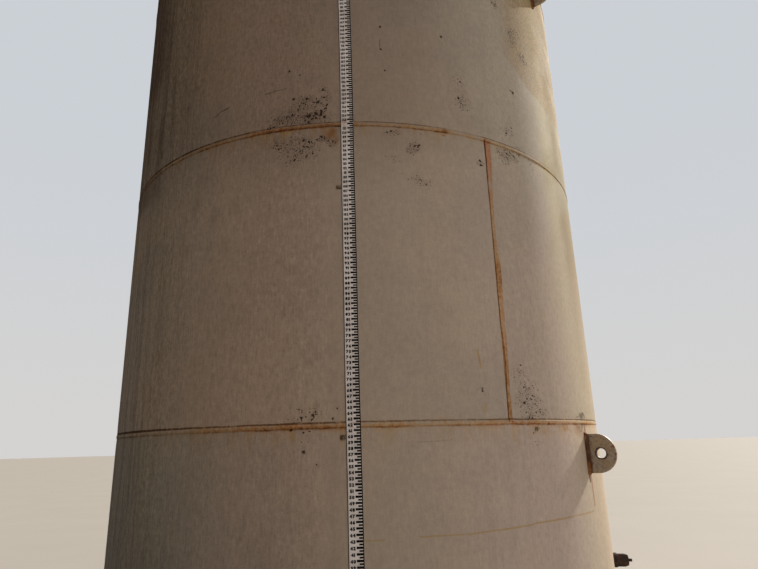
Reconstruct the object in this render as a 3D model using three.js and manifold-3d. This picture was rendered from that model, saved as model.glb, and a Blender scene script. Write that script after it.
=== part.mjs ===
// Vertical storage tank: a welded steel shell of four courses on a flat bottom plate, under a
// shallow cone roof. Millimetres, +Z up. The origin lies on the tank's axis, on the underside
// of the bottom plate. An azimuth is in degrees, measured from -Y towards +X, and a station is
// a group turned to one azimuth, in which -Y points straight out of the shell.

import * as THREE from 'three';
import { mergeVertices } from 'three/addons/utils/BufferGeometryUtils.js';
import Module from 'manifold-3d';

const wasm = await Module();
wasm.setup();

const INCH = 25.4;
const CLEARANCE = 0.3;
const MERGE_DISTANCE = 0.001;

// Shell
const SHELL_RADIUS = 63 * INCH;
const SHELL_WALL = INCH / 4;
const COURSE_HEIGHT = 60 * INCH;
const COURSE_COUNT = 4;
const PLATES_PER_COURSE = 2;
const ROOT_GAP = 3;
const FACETS = 96;
const FACET_ANGLE = 360 / FACETS;

// Vertical seams: the even courses have theirs at the first azimuth, the odd ones further round
const SEAM_AZIMUTH = 27;
const SEAM_STAGGER = 20 * FACET_ANGLE;

// Weld beads
const WELD_HALF_WIDTH = 9;
const WELD_CROWN = 1.6;
const FILLET_LEG = 8;

// Bottom plate
const BOTTOM_THICKNESS = INCH / 4;
const CHIME = 25;

// Roof
const ROOF_THICKNESS = 4.8;
const ROOF_SLOPE = 1 / 12;
const ROOF_LIP = 19;
const ROOF_PLATES = 4;
const ROOF_CUT_HEIGHT = 1000;
const NECK_DROP = 25;

// Roof vent: a hood on three legs over a short neck
const VENT_NECK = { radius: 84, wall: 7, height: 180 };
const VENT_HOOD = { radius: 150, overNeck: 45, fall: 22, skirt: 60, sheet: 4 };
const VENT_LEG = { width: 30, thickness: 6, height: 80, count: 3 };
const VENT_FACETS = 32;

// Roof manway
const MANWAY_AZIMUTH = SEAM_AZIMUTH + 135;
const MANWAY_REACH = 900;
const MANWAY_RADIUS = 12 * INCH;
const MANWAY_WALL = INCH / 4;
const MANWAY_HEIGHT = 150;
const MANWAY_FLANGE = { radius: 14.25 * INCH, thickness: 9.5 };
const MANWAY_GASKET = 3;
const MANWAY_COVER = 9.5;
const MANWAY_FACETS = 48;

// Lifting lugs: both on one line, on the middle of a facet
const LUG_AZIMUTH = SEAM_AZIMUTH + 6.5 * FACET_ANGLE;
const LUG_HEIGHT = 206;
const LUG_REACH = 155;
const LUG_THICKNESS = 19;
const LUG_EYE = { radius: INCH, reach: 76 };
const LUG_LEVELS = { lower_lug: 1365, upper_lug: 4440 };
const LUG_WELD_LEG = 12;
const LUG_ARC_STEPS = 24;

// Gauge strip, graduated in inches: its zero lies below the tank's underside
const GAUGE_ZERO = -40;
const GAUGE_AZIMUTH = SEAM_AZIMUTH - 7.5 * FACET_ANGLE;
const GAUGE_WIDTH = 68;
const GAUGE_THICKNESS = 3;
const GAUGE_READINGS = { gauge_strip_lower: [3, 122.15], gauge_strip_upper: [122.25, 240] };
const GAUGE_LEAN = 0.0071;
const GAUGE_PIVOT = { offset: -4, reading: 95 };
const GAUGE_GROOVE_MARGIN = 1;

// Stubs of the strip's clips, beside its left edge
const CLIP_READINGS = [11.8, 59.8, 107.8, 155.8, 203.8];
const CLIP = { width: 24, height: 22, thickness: 5, fromEdge: 3 };

// Outlet low on the side: a threaded coupling through the shell, closed with a plug
const OUTLET_AZIMUTH = SEAM_AZIMUTH + 13.5 * FACET_ANGLE;
const OUTLET_COURSE = 1;
const OUTLET_LEVEL = 700;
const OUTLET_RADIUS = 42.5;
const OUTLET_BORE = 31;
const OUTLET_REACH = 45;
const OUTLET_DROP = 15;
const OUTLET_FACETS = 24;
const OUTLET_CUT_LENGTH = 2 * INCH;
const PLUG_THREAD = 22;
const PLUG_HEX = { radius: 41, length: 65, sides: 6 };
const PLUG_NUB = { radius: 9, length: 24, sides: 12 };

const WELD_PITCH = COURSE_HEIGHT + ROOT_GAP;
const SHELL_TOP = BOTTOM_THICKNESS + COURSE_COUNT * WELD_PITCH - ROOT_GAP;
const FACE_RADIUS = SHELL_RADIUS * Math.cos(Math.PI / FACETS);

const paint = new THREE.Color('#8c7b66');
const finishes = {
  shell: { color: paint, roughness: 0.62, metalness: 0.1 },
  roof: { color: new THREE.Color('#9a8b76'), roughness: 0.7, metalness: 0.1 },
  weld: { color: new THREE.Color('#8a4a24'), roughness: 0.85, metalness: 0.2 },
  rust: { color: new THREE.Color('#3f2a22'), roughness: 0.9, metalness: 0.3 },
  strip: { color: new THREE.Color('#d8d4cf'), roughness: 0.45, metalness: 0.1 },
  gasket: { color: new THREE.Color('#1f1d1b'), roughness: 0.9, metalness: 0 },
};

const tank = new THREE.Group();

function radians(degrees) {
  return THREE.MathUtils.degToRad(degrees);
}

function onCircle(radius, azimuth) {
  const angle = radians(azimuth);
  return new THREE.Vector2(radius * Math.sin(angle), -radius * Math.cos(angle));
}

function addPiece(name, geometry, finish, parent = tank) {
  const piece = new THREE.Mesh(geometry, new THREE.MeshStandardMaterial(finishes[finish]));
  piece.name = name;
  parent.add(piece);
  return piece;
}

function addStation(azimuth, level = 0) {
  const station = new THREE.Group();
  station.rotation.z = radians(azimuth);
  station.position.z = level;
  tank.add(station);
  return station;
}

function toSolid(geometry) {
  const bare = geometry.clone();
  bare.deleteAttribute('normal');
  bare.deleteAttribute('uv');
  const merged = mergeVertices(bare, MERGE_DISTANCE);
  const vertProperties = new Float32Array(merged.attributes.position.array);
  const triVerts = new Uint32Array(merged.index.array);
  return new wasm.Manifold(new wasm.Mesh({ numProp: 3, vertProperties, triVerts }));
}

function toGeometry(solid) {
  const mesh = solid.getMesh();
  const geometry = new THREE.BufferGeometry();
  geometry.setAttribute('position', new THREE.BufferAttribute(mesh.vertProperties, 3));
  geometry.setIndex(new THREE.BufferAttribute(mesh.triVerts, 1));
  geometry.computeVertexNormals();
  return geometry;
}

// A profile of [radius, height] corners, turned about +Z. It runs counter-clockwise when the
// radius points right and the height points up, and closes on itself unless it starts and
// ends on the axis.
function turned(profile, facets = FACETS) {
  const loop = profile[0][0] === 0 ? profile : [...profile, profile[0]];
  const corners = loop.map(([radius, height]) => new THREE.Vector2(radius, height));
  return new THREE.LatheGeometry(corners, facets, radians(SEAM_AZIMUTH)).rotateX(Math.PI / 2);
}

// An upright post on z = 0, with its facets in line with those of a turned piece
function post(radius, height, facets = FACETS) {
  const azimuths = Array.from({ length: facets }, (_, i) => SEAM_AZIMUTH + (i * 360) / facets);
  const corners = azimuths.map((azimuth) => onCircle(radius, azimuth));
  return new THREE.ExtrudeGeometry(new THREE.Shape(corners), { depth: height, bevelEnabled: false });
}

// Turns a geometry whose axis is +Z so that the axis points straight out of the shell
function laidOutward(geometry) {
  return geometry.rotateX(Math.PI / 2);
}

// A rolled plate between two azimuths, standing on z = 0
function rolledPlate(from, to) {
  const seamMargin = THREE.MathUtils.radToDeg(ROOT_GAP / 2 / SHELL_RADIUS);
  const steps = Math.round((to - from) / FACET_ANGLE);
  const azimuths = Array.from({ length: steps + 1 }, (_, i) => from + i * FACET_ANGLE);
  azimuths[0] += seamMargin;
  azimuths[steps] -= seamMargin;
  const outside = azimuths.map((azimuth) => onCircle(SHELL_RADIUS, azimuth));
  const inside = azimuths.map((azimuth) => onCircle(SHELL_RADIUS - SHELL_WALL, azimuth)).reverse();
  const outline = new THREE.Shape([...outside, ...inside]);
  return new THREE.ExtrudeGeometry(outline, { depth: COURSE_HEIGHT, bevelEnabled: false });
}

function courseBase(course) {
  return BOTTOM_THICKNESS + (course - 1) * WELD_PITCH;
}

function seamAzimuth(course, plate) {
  const stagger = course % 2 === 1 ? SEAM_STAGGER : 0;
  return SEAM_AZIMUTH + stagger + (plate * 360) / PLATES_PER_COURSE;
}

function makeBottom() {
  addPiece('bottom_plate', post(SHELL_RADIUS + CHIME, BOTTOM_THICKNESS), 'shell');

  const face = SHELL_RADIUS + CLEARANCE;
  const fillet = [
    [face, BOTTOM_THICKNESS],
    [face + FILLET_LEG, BOTTOM_THICKNESS],
    [face, BOTTOM_THICKNESS + FILLET_LEG],
  ];
  addPiece('bottom_weld', turned(fillet), 'weld');
}

// The round hole that the outlet coupling passes through, in the frame of its course
function outletHole() {
  const drill = laidOutward(post(OUTLET_RADIUS + CLEARANCE, OUTLET_CUT_LENGTH, OUTLET_FACETS));
  drill.translate(0, OUTLET_CUT_LENGTH / 2 - SHELL_RADIUS, 0);
  drill.rotateZ(radians(OUTLET_AZIMUTH));
  drill.translate(0, 0, OUTLET_LEVEL - courseBase(OUTLET_COURSE));
  return toSolid(drill);
}

// Whether an azimuth lies on the arc that runs from one azimuth up to another
function isBetween(azimuth, from, to) {
  return THREE.MathUtils.euclideanModulo(azimuth - from, 360) < to - from;
}

function makeCourses() {
  for (let course = 1; course <= COURSE_COUNT; course += 1) {
    for (let plate = 0; plate < PLATES_PER_COURSE; plate += 1) {
      const from = seamAzimuth(course, plate);
      const to = from + 360 / PLATES_PER_COURSE;
      let geometry = rolledPlate(from, to);
      if (course === OUTLET_COURSE && isBetween(OUTLET_AZIMUTH, from, to)) {
        geometry = toGeometry(toSolid(geometry).subtract(outletHole()));
      }
      const piece = addPiece(`shell_course_${course}_plate_${plate + 1}`, geometry, 'shell');
      piece.position.z = courseBase(course);
    }
  }
}

// A butt weld's section, across the seam and outward: a web that fills the root gap, under a
// low crown that covers both plate edges
function buttSection() {
  const web = ROOT_GAP / 2 - CLEARANCE;
  return [
    [-web, -SHELL_WALL],
    [web, -SHELL_WALL],
    [web, CLEARANCE],
    [WELD_HALF_WIDTH, CLEARANCE],
    [WELD_HALF_WIDTH / 2, WELD_CROWN],
    [-WELD_HALF_WIDTH / 2, WELD_CROWN],
    [-WELD_HALF_WIDTH, CLEARANCE],
    [-web, CLEARANCE],
  ];
}

function makeGirthWelds() {
  for (let seam = 1; seam < COURSE_COUNT; seam += 1) {
    const level = courseBase(seam + 1) - ROOT_GAP / 2;
    const profile = buttSection().map(([across, out]) => [SHELL_RADIUS + out, -across]);
    const piece = addPiece(`girth_weld_${seam}`, turned(profile), 'weld');
    piece.position.z = level;
  }
}

function makeVerticalWelds() {
  const margin = WELD_HALF_WIDTH + CLEARANCE;
  const length = COURSE_HEIGHT - 2 * margin;
  const outline = new THREE.Shape(buttSection().map(([across, out]) => new THREE.Vector2(across, -out)));
  for (let course = 1; course <= COURSE_COUNT; course += 1) {
    for (let plate = 0; plate < PLATES_PER_COURSE; plate += 1) {
      const bead = new THREE.ExtrudeGeometry(outline, { depth: length, bevelEnabled: false });
      const station = addStation(seamAzimuth(course, plate), courseBase(course) + margin);
      const piece = addPiece(`vertical_weld_${course}_${plate + 1}`, bead, 'weld', station);
      piece.position.y = -SHELL_RADIUS;
    }
  }
}

// Underside of the cone roof at a distance from the tank's axis
function roofUnderside(radius) {
  return SHELL_TOP + CLEARANCE + (SHELL_RADIUS - radius) * ROOF_SLOPE;
}

// Four plates, cut out of one cone that has holes for the vent and the manway
function makeRoof() {
  const eave = SHELL_RADIUS + ROOF_LIP;
  const hole = VENT_NECK.radius + CLEARANCE;
  const cone = toSolid(turned([
    [hole, roofUnderside(hole)],
    [eave, roofUnderside(eave)],
    [eave, roofUnderside(eave) + ROOF_THICKNESS],
    [hole, roofUnderside(hole) + ROOF_THICKNESS],
  ]));
  const cutBase = SHELL_TOP - ROOF_CUT_HEIGHT / 2;
  const manway = onCircle(MANWAY_REACH, MANWAY_AZIMUTH);
  const hatch = post(MANWAY_RADIUS + CLEARANCE, ROOF_CUT_HEIGHT, MANWAY_FACETS);
  const open = cone.subtract(toSolid(hatch.translate(manway.x, manway.y, cutBase)));
  const span = 360 / ROOF_PLATES;
  const beyond = 2 * eave;
  for (let plate = 0; plate < ROOF_PLATES; plate += 1) {
    const from = SEAM_AZIMUTH + plate * span;
    const corners = [new THREE.Vector2(0, 0), onCircle(beyond, from), onCircle(beyond, from + span)];
    const wedge = new THREE.Shape(corners);
    const block = new THREE.ExtrudeGeometry(wedge, { depth: ROOF_CUT_HEIGHT, bevelEnabled: false });
    const middle = onCircle(CLEARANCE, from + span / 2);
    block.translate(middle.x, middle.y, cutBase);
    addPiece(`roof_plate_${plate + 1}`, toGeometry(open.intersect(toSolid(block))), 'roof');
  }

  const face = SHELL_RADIUS + CLEARANCE;
  const toe = face + FILLET_LEG;
  const fillet = [
    [face, SHELL_TOP - FILLET_LEG],
    [toe, roofUnderside(toe) - CLEARANCE],
    [face, roofUnderside(face) - CLEARANCE],
  ];
  addPiece('roof_weld', turned(fillet), 'weld');
}

function makeVent() {
  const foot = roofUnderside(VENT_NECK.radius) - NECK_DROP;
  const rim = roofUnderside(VENT_NECK.radius) + VENT_NECK.height;
  const neck = [
    [VENT_NECK.radius - VENT_NECK.wall, foot],
    [VENT_NECK.radius, foot],
    [VENT_NECK.radius, rim],
    [VENT_NECK.radius - VENT_NECK.wall, rim],
  ];
  addPiece('vent_neck', turned(neck, VENT_FACETS), 'roof');

  const crown = rim + VENT_HOOD.overNeck;
  const shoulder = crown - VENT_HOOD.fall;
  const skirt = shoulder - VENT_HOOD.skirt;
  const inner = VENT_HOOD.radius - VENT_HOOD.sheet;
  const hood = turned([
    [0, crown],
    [inner, shoulder],
    [inner, skirt],
    [VENT_HOOD.radius, skirt],
    [VENT_HOOD.radius, shoulder + VENT_HOOD.sheet],
    [0, crown + VENT_HOOD.sheet],
  ], VENT_FACETS);
  const legReach = VENT_NECK.radius + CLEARANCE + VENT_LEG.thickness / 2;
  const legTop = crown - (VENT_HOOD.fall * legReach) / inner + VENT_HOOD.sheet / 2;
  let solid = toSolid(hood);
  for (let leg = 0; leg < VENT_LEG.count; leg += 1) {
    const bar = new THREE.BoxGeometry(VENT_LEG.width, VENT_LEG.thickness, VENT_LEG.height);
    bar.translate(0, -legReach, legTop - VENT_LEG.height / 2);
    bar.rotateZ(radians(SEAM_AZIMUTH + (leg * 360) / VENT_LEG.count));
    solid = solid.add(toSolid(bar));
  }
  addPiece('vent_hood', toGeometry(solid), 'roof');
}

function makeManway() {
  const centre = onCircle(MANWAY_REACH, MANWAY_AZIMUTH);
  const low = roofUnderside(MANWAY_REACH + MANWAY_RADIUS) - NECK_DROP;
  const rim = roofUnderside(MANWAY_REACH) + MANWAY_HEIGHT;
  const manway = new THREE.Group();
  manway.position.set(centre.x, centre.y, rim);
  tank.add(manway);

  const tube = [
    [MANWAY_RADIUS - MANWAY_WALL, low - rim],
    [MANWAY_RADIUS, low - rim],
    [MANWAY_RADIUS, 0],
    [MANWAY_RADIUS - MANWAY_WALL, 0],
  ];
  addPiece('manway_neck', turned(tube, MANWAY_FACETS), 'roof', manway);

  const flange = [
    [MANWAY_RADIUS + CLEARANCE, -MANWAY_FLANGE.thickness],
    [MANWAY_FLANGE.radius, -MANWAY_FLANGE.thickness],
    [MANWAY_FLANGE.radius, 0],
    [MANWAY_RADIUS + CLEARANCE, 0],
  ];
  addPiece('manway_flange', turned(flange, MANWAY_FACETS), 'roof', manway);

  const gasket = [
    [MANWAY_RADIUS - MANWAY_WALL, 0],
    [MANWAY_FLANGE.radius, 0],
    [MANWAY_FLANGE.radius, MANWAY_GASKET],
    [MANWAY_RADIUS - MANWAY_WALL, MANWAY_GASKET],
  ];
  addPiece('manway_gasket', turned(gasket, MANWAY_FACETS), 'gasket', manway);

  const cover = addPiece(
    'manway_cover', post(MANWAY_FLANGE.radius, MANWAY_COVER, MANWAY_FACETS), 'roof', manway,
  );
  cover.position.z = MANWAY_GASKET;
}

// A D-shaped plate that stands straight out of the shell, with a round eye through it
function lugPlate() {
  const half = LUG_HEIGHT / 2;
  const outline = new THREE.Shape();
  outline.moveTo(0, -half);
  outline.lineTo(LUG_REACH - half, -half);
  outline.absarc(LUG_REACH - half, 0, half, -Math.PI / 2, Math.PI / 2, false);
  outline.lineTo(0, half);
  outline.closePath();
  const eye = new THREE.Path();
  eye.absarc(LUG_EYE.reach, 0, LUG_EYE.radius, 0, 2 * Math.PI, true);
  outline.holes.push(eye);
  const plate = new THREE.ExtrudeGeometry(outline, {
    depth: LUG_THICKNESS,
    bevelEnabled: false,
    curveSegments: LUG_ARC_STEPS,
  });
  plate.translate(0, 0, -LUG_THICKNESS / 2);
  return plate.rotateX(Math.PI / 2).rotateZ(-Math.PI / 2);
}

// A fillet weld that runs all round a rectangle standing on the shell
function filletLoop(width, height, leg) {
  const corners = [[-1, -1], [-1, 1], [1, 1], [1, -1]];
  const positions = [];
  for (const [side, end] of corners) {
    positions.push((side * width) / 2, 0, (end * height) / 2);
    positions.push(side * (width / 2 + leg), 0, end * (height / 2 + leg));
    positions.push((side * width) / 2, -leg, (end * height) / 2);
  }
  const index = [];
  corners.forEach((_, corner) => {
    const here = 3 * corner;
    const next = 3 * ((corner + 1) % corners.length);
    for (let edge = 0; edge < 3; edge += 1) {
      const other = (edge + 1) % 3;
      index.push(here + edge, here + other, next + other);
      index.push(here + edge, next + other, next + edge);
    }
  });
  const geometry = new THREE.BufferGeometry();
  geometry.setAttribute('position', new THREE.Float32BufferAttribute(positions, 3));
  geometry.setIndex(index);
  geometry.computeVertexNormals();
  return geometry;
}

function makeLugs() {
  for (const [name, level] of Object.entries(LUG_LEVELS)) {
    const station = addStation(LUG_AZIMUTH, level);
    const plate = addPiece(name, lugPlate(), 'shell', station);
    plate.position.y = -FACE_RADIUS - CLEARANCE;
    const bead = filletLoop(LUG_THICKNESS + 2 * CLEARANCE, LUG_HEIGHT + 2 * CLEARANCE, LUG_WELD_LEG);
    const weld = addPiece(`${name}_weld`, bead, 'weld', station);
    weld.position.y = -FACE_RADIUS - CLEARANCE;
  }
}

function gaugeLevel(reading) {
  return GAUGE_ZERO + reading * INCH;
}

// How far the strip's middle lies to the right of its facet's middle
function gaugeOffset(level) {
  return GAUGE_PIVOT.offset - (level - gaugeLevel(GAUGE_PIVOT.reading)) * GAUGE_LEAN;
}

function makeGauge() {
  const pivotLevel = gaugeLevel(GAUGE_PIVOT.reading);
  const grooveHeight = 2 * (WELD_HALF_WIDTH + GAUGE_GROOVE_MARGIN);
  const station = addStation(GAUGE_AZIMUTH, pivotLevel);
  const leaning = new THREE.Group();
  leaning.position.set(GAUGE_PIVOT.offset, -FACE_RADIUS - CLEARANCE, 0);
  leaning.rotation.y = -GAUGE_LEAN;
  station.add(leaning);

  for (const [name, [low, high]] of Object.entries(GAUGE_READINGS)) {
    const bottom = gaugeLevel(low) - pivotLevel;
    const top = gaugeLevel(high) - pivotLevel;
    const board = new THREE.BoxGeometry(GAUGE_WIDTH, GAUGE_THICKNESS, top - bottom);
    let solid = toSolid(board.translate(0, -GAUGE_THICKNESS / 2, (top + bottom) / 2));
    for (let seam = 1; seam < COURSE_COUNT; seam += 1) {
      const level = courseBase(seam + 1) - ROOT_GAP / 2 - pivotLevel;
      const groove = new THREE.BoxGeometry(2 * GAUGE_WIDTH, 2 * WELD_CROWN, grooveHeight);
      solid = solid.subtract(toSolid(groove.translate(0, 0, level)));
    }
    addPiece(name, toGeometry(solid), 'strip', leaning);
  }

  CLIP_READINGS.forEach((reading, count) => {
    const level = gaugeLevel(reading);
    const across = gaugeOffset(level) - GAUGE_WIDTH / 2 - CLIP.fromEdge - CLIP.width / 2;
    const azimuth = GAUGE_AZIMUTH + THREE.MathUtils.radToDeg(across / SHELL_RADIUS);
    const stub = new THREE.BoxGeometry(CLIP.width, CLIP.thickness, CLIP.height);
    const piece = addPiece(`gauge_clip_${count + 1}`, stub, 'rust', addStation(azimuth, level));
    piece.position.y = -SHELL_RADIUS - CLEARANCE - CLIP.thickness / 2;
  });
}

function makeOutlet() {
  const station = addStation(OUTLET_AZIMUTH, OUTLET_LEVEL);
  const tube = turned([
    [OUTLET_BORE, -SHELL_WALL - OUTLET_DROP],
    [OUTLET_RADIUS, -SHELL_WALL - OUTLET_DROP],
    [OUTLET_RADIUS, OUTLET_REACH],
    [OUTLET_BORE, OUTLET_REACH],
  ], OUTLET_FACETS);
  const coupling = addPiece('outlet_coupling', laidOutward(tube), 'rust', station);
  coupling.position.y = -SHELL_RADIUS;

  const thread = post(OUTLET_BORE - CLEARANCE, PLUG_THREAD + PLUG_HEX.length, OUTLET_FACETS);
  const head = post(PLUG_HEX.radius, PLUG_HEX.length, PLUG_HEX.sides);
  const nub = post(PLUG_NUB.radius, PLUG_HEX.length + PLUG_NUB.length, PLUG_NUB.sides);
  const solid = toSolid(thread.translate(0, 0, CLEARANCE - PLUG_THREAD))
    .add(toSolid(head.translate(0, 0, CLEARANCE)))
    .add(toSolid(nub.translate(0, 0, CLEARANCE)));
  const plug = addPiece('outlet_plug', laidOutward(toGeometry(solid)), 'rust', station);
  plug.position.y = -SHELL_RADIUS - OUTLET_REACH;
}

makeBottom();
makeCourses();
makeGirthWelds();
makeVerticalWelds();
makeRoof();
makeVent();
makeManway();
makeLugs();
makeGauge();
makeOutlet();

export default tank;
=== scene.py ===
import math
from functools import reduce

import bmesh
import bpy
import numpy as np
from mathutils import Matrix, Vector


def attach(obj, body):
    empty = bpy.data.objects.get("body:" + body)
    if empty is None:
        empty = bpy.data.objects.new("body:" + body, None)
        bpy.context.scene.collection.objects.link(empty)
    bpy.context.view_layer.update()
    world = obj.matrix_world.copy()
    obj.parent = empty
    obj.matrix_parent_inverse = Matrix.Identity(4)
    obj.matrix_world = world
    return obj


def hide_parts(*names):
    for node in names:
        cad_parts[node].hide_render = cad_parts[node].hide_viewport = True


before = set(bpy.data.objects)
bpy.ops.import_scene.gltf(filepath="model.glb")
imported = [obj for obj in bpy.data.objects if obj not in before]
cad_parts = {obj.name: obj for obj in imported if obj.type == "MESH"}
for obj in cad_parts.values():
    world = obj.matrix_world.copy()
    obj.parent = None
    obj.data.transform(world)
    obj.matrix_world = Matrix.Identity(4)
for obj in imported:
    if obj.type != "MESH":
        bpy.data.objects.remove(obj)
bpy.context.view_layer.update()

# Metres, +Z up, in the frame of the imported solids. The origin lies on the tank's axis, on the
# underside of the bottom plate. An azimuth is in degrees, from -Y towards +X. At a station,
# -Y points straight out of the shell and X runs to the right along it. A mesh is a pair of
# points and faces, and a profile is a row of (radius, height) that closes on itself.

MM = 0.001
INCH = 0.0254
CLEARANCE = 0.3 * MM

SHELL_RADIUS = 63 * INCH
SHELL_WALL = INCH / 4
COURSE_HEIGHT = 60 * INCH
COURSE_COUNT = 4
ROOT_GAP = 3 * MM
FACETS = 96
FACET_ANGLE = 360 / FACETS
FACE_RADIUS = SHELL_RADIUS * math.cos(math.pi / FACETS)
SHELL_DEGREE = math.radians(1) * SHELL_RADIUS
SEAM_AZIMUTH = 27
SEAM_STAGGER = 20 * FACET_ANGLE

WELD_HALF_WIDTH = 9 * MM
WELD_CROWN = 1.6 * MM
WELD_ROOT = 4 * MM
FILLET_LEG = 8 * MM

BOTTOM_THICKNESS = INCH / 4
CHIME = 24.6 * MM

ROOF_THICKNESS = 4.8 * MM
ROOF_SLOPE = 1 / 12
ROOF_LIP = 18.8 * MM
ROOF_PLATES = 4
NECK_DROP = 25 * MM

VENT_NECK_RADIUS = 84 * MM
VENT_NECK_WALL = 7 * MM
VENT_NECK_HEIGHT = 180 * MM
VENT_HOOD_RADIUS = 149.8 * MM
VENT_HOOD_OVER_NECK = 45 * MM
VENT_HOOD_FALL = 22 * MM
VENT_HOOD_SKIRT = 60 * MM
VENT_HOOD_SHEET = 3.9 * MM
VENT_LEG_HEIGHT = 80 * MM
VENT_LEG_THICKNESS = 6 * MM
VENT_LEG_COUNT = 3

MANWAY_AZIMUTH = SEAM_AZIMUTH + 135
MANWAY_REACH = 900 * MM
MANWAY_RADIUS = 12 * INCH
MANWAY_WALL = INCH / 4
MANWAY_HEIGHT = 150 * MM
MANWAY_FLANGE_RADIUS = 14.25 * INCH
MANWAY_PLATE = 9.5 * MM
MANWAY_GASKET = 3 * MM
BOLT_COUNT = 16
BOLT_CIRCLE = 334 * MM
BOLT_FLATS = 24 * MM
WASHER = 2.5 * MM
NUT_HEIGHT = 13 * MM
HANDLE_HALF = 75 * MM
HANDLE_RISE = 26 * MM
HANDLE_BEND = 18 * MM
HANDLE_RADIUS = 7 * MM

LUG_AZIMUTH = SEAM_AZIMUTH + 6.5 * FACET_ANGLE
LUG_HALF_HEIGHT = 103 * MM
LUG_REACH = 155 * MM
LUG_THICKNESS = 19 * MM
LUG_EYE_RADIUS = INCH
LUG_EYE_REACH = 76 * MM
LUG_LEVELS = {"lower_lug": 1.365, "upper_lug": 4.440}
LUG_WELD_LEG = 11.5 * MM

GAUGE_ZERO = -40 * MM
GAUGE_AZIMUTH = SEAM_AZIMUTH - 7.5 * FACET_ANGLE
GAUGE_WIDTH = 68 * MM
GAUGE_THICKNESS = 3 * MM
GAUGE_READINGS = {"gauge_strip_lower": (3, 122.15), "gauge_strip_upper": (122.25, 240)}
GAUGE_LEAN = 0.0071
GAUGE_PIVOT_OFFSET = -4 * MM
GAUGE_PIVOT_READING = 95
INK_RELIEF = 0.12 * MM
# The left end and the thickness of a whole inch's mark and of a half inch's, and their right end
GAUGE_MARKS = ((1 * MM, 9.6 * MM), (13 * MM, 7.4 * MM))
GAUGE_MARK_END = 30.5 * MM
GAUGE_BORDERS = ((29.0 * MM, 33.6 * MM), (-33.7 * MM, -30.4 * MM))
DIGIT_HEIGHT = 13 * MM
# A digit's height in em, and how high the 6 stands over its foot once it is turned to make a 9
DIGIT_SHARE = 0.73
NINE_TURN = 0.715
DIGIT_GAP = 0.8 * MM
DIGITS_MIDDLE = -14.2 * MM
DIGITS_DROP = 8.3 * MM
CLIP_READINGS = (11.8, 59.8, 107.8, 155.8, 203.8)

OUTLET_AZIMUTH = SEAM_AZIMUTH + 13.5 * FACET_ANGLE
OUTLET_LEVEL = 700 * MM
OUTLET_RADIUS = 42.5 * MM
OUTLET_BORE = 31 * MM
OUTLET_REACH = 45 * MM
OUTLET_DROP = 25 * MM
THREAD_PITCH = 2.2 * MM
PLUG_HEX_RADIUS = 41 * MM
PLUG_HEX_LENGTH = 64.5 * MM

WELD_PITCH = COURSE_HEIGHT + ROOT_GAP
SHELL_TOP = BOTTOM_THICKNESS + COURSE_COUNT * WELD_PITCH - ROOT_GAP
FIRST_SEAM = BOTTOM_THICKNESS + WELD_PITCH - ROOT_GAP / 2

rng = np.random.default_rng(7)


def course_base(course):
    return BOTTOM_THICKNESS + (course - 1) * WELD_PITCH


def seam_azimuth(course, plate):
    return SEAM_AZIMUTH + (SEAM_STAGGER if course % 2 == 1 else 0) + 180 * plate


def roof_underside(radius):
    return SHELL_TOP + CLEARANCE + (SHELL_RADIUS - radius) * ROOF_SLOPE


def gauge_level(reading):
    return GAUGE_ZERO + reading * INCH


def gauge_middle(level):
    """How far the strip's middle lies to the right of its station."""
    return GAUGE_PIVOT_OFFSET - (level - gauge_level(GAUGE_PIVOT_READING)) * GAUGE_LEAN


# Meshes

def linked(name, data):
    obj = bpy.data.objects.new(name, data)
    bpy.context.scene.collection.objects.link(obj)
    return obj


def plain(name, mesh):
    """Makes an object of a mesh as it is."""
    data = bpy.data.meshes.new(name)
    data.from_pydata(np.asarray(mesh[0]).tolist(), [], mesh[1])
    return linked(name, data)


def finished(name, mesh, crease=40):
    """Makes an object of a closed mesh: facing outward, and smooth up to the crease."""
    obj = plain(name, mesh)
    bm = bmesh.new()
    bm.from_mesh(obj.data)
    bmesh.ops.remove_doubles(bm, verts=bm.verts, dist=1e-6)
    bmesh.ops.recalc_face_normals(bm, faces=bm.faces)
    for face in bm.faces:
        face.smooth = True
    bm.to_mesh(obj.data)
    bm.free()
    obj.data.set_sharp_from_angle(angle=math.radians(crease))
    return obj


def evaluated(obj):
    """A new mesh of an object as its modifiers or its text make it."""
    bpy.context.view_layer.update()
    return bpy.data.meshes.new_from_object(obj.evaluated_get(bpy.context.evaluated_depsgraph_get()))


def swept(sections, loop=False):
    """The mesh of a closed section that is carried along a path, a row of points a step."""
    sections = np.asarray(sections, float)
    steps, corners = sections.shape[:2]
    index = np.arange(steps * corners).reshape(steps, corners)
    here = index if loop else index[:-1]
    ahead = np.roll(index, -1, 0) if loop else index[1:]
    quads = [here, ahead, np.roll(ahead, -1, 1), np.roll(here, -1, 1)]
    faces = np.stack(quads, -1).reshape(-1, 4).tolist()
    if not loop:
        faces += [index[0].tolist(), index[-1, ::-1].tolist()]
    return sections.reshape(-1, 3), faces


def joined(meshes):
    """One mesh of several."""
    points, faces = [], []
    for spots, corners in meshes:
        faces += [[i + len(points) for i in face] for face in corners]
        points += np.asarray(spots).tolist()
    return points, faces


def around(steps):
    """Azimuths all round, as a column."""
    return np.linspace(0, 360, steps, endpoint=False)[:, None]


def stacked(x, y, z):
    """Points, of coordinates that may each be one value or many."""
    return np.stack(np.broadcast_arrays(x, y, z), -1)


def on_circle(radius, azimuth, level):
    """Points at a distance from the tank's axis."""
    angle = np.radians(azimuth)
    return stacked(radius * np.sin(angle), -radius * np.cos(angle), level)


def at_station(points, azimuth, level=0.0):
    """Moves points from a station's own frame to the tank's."""
    x, y, z = np.moveaxis(np.asarray(points, float), -1, 0)
    cos, sin = math.cos(math.radians(azimuth)), math.sin(math.radians(azimuth))
    return stacked(x * cos - y * sin, x * sin + y * cos, z + level)


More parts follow.
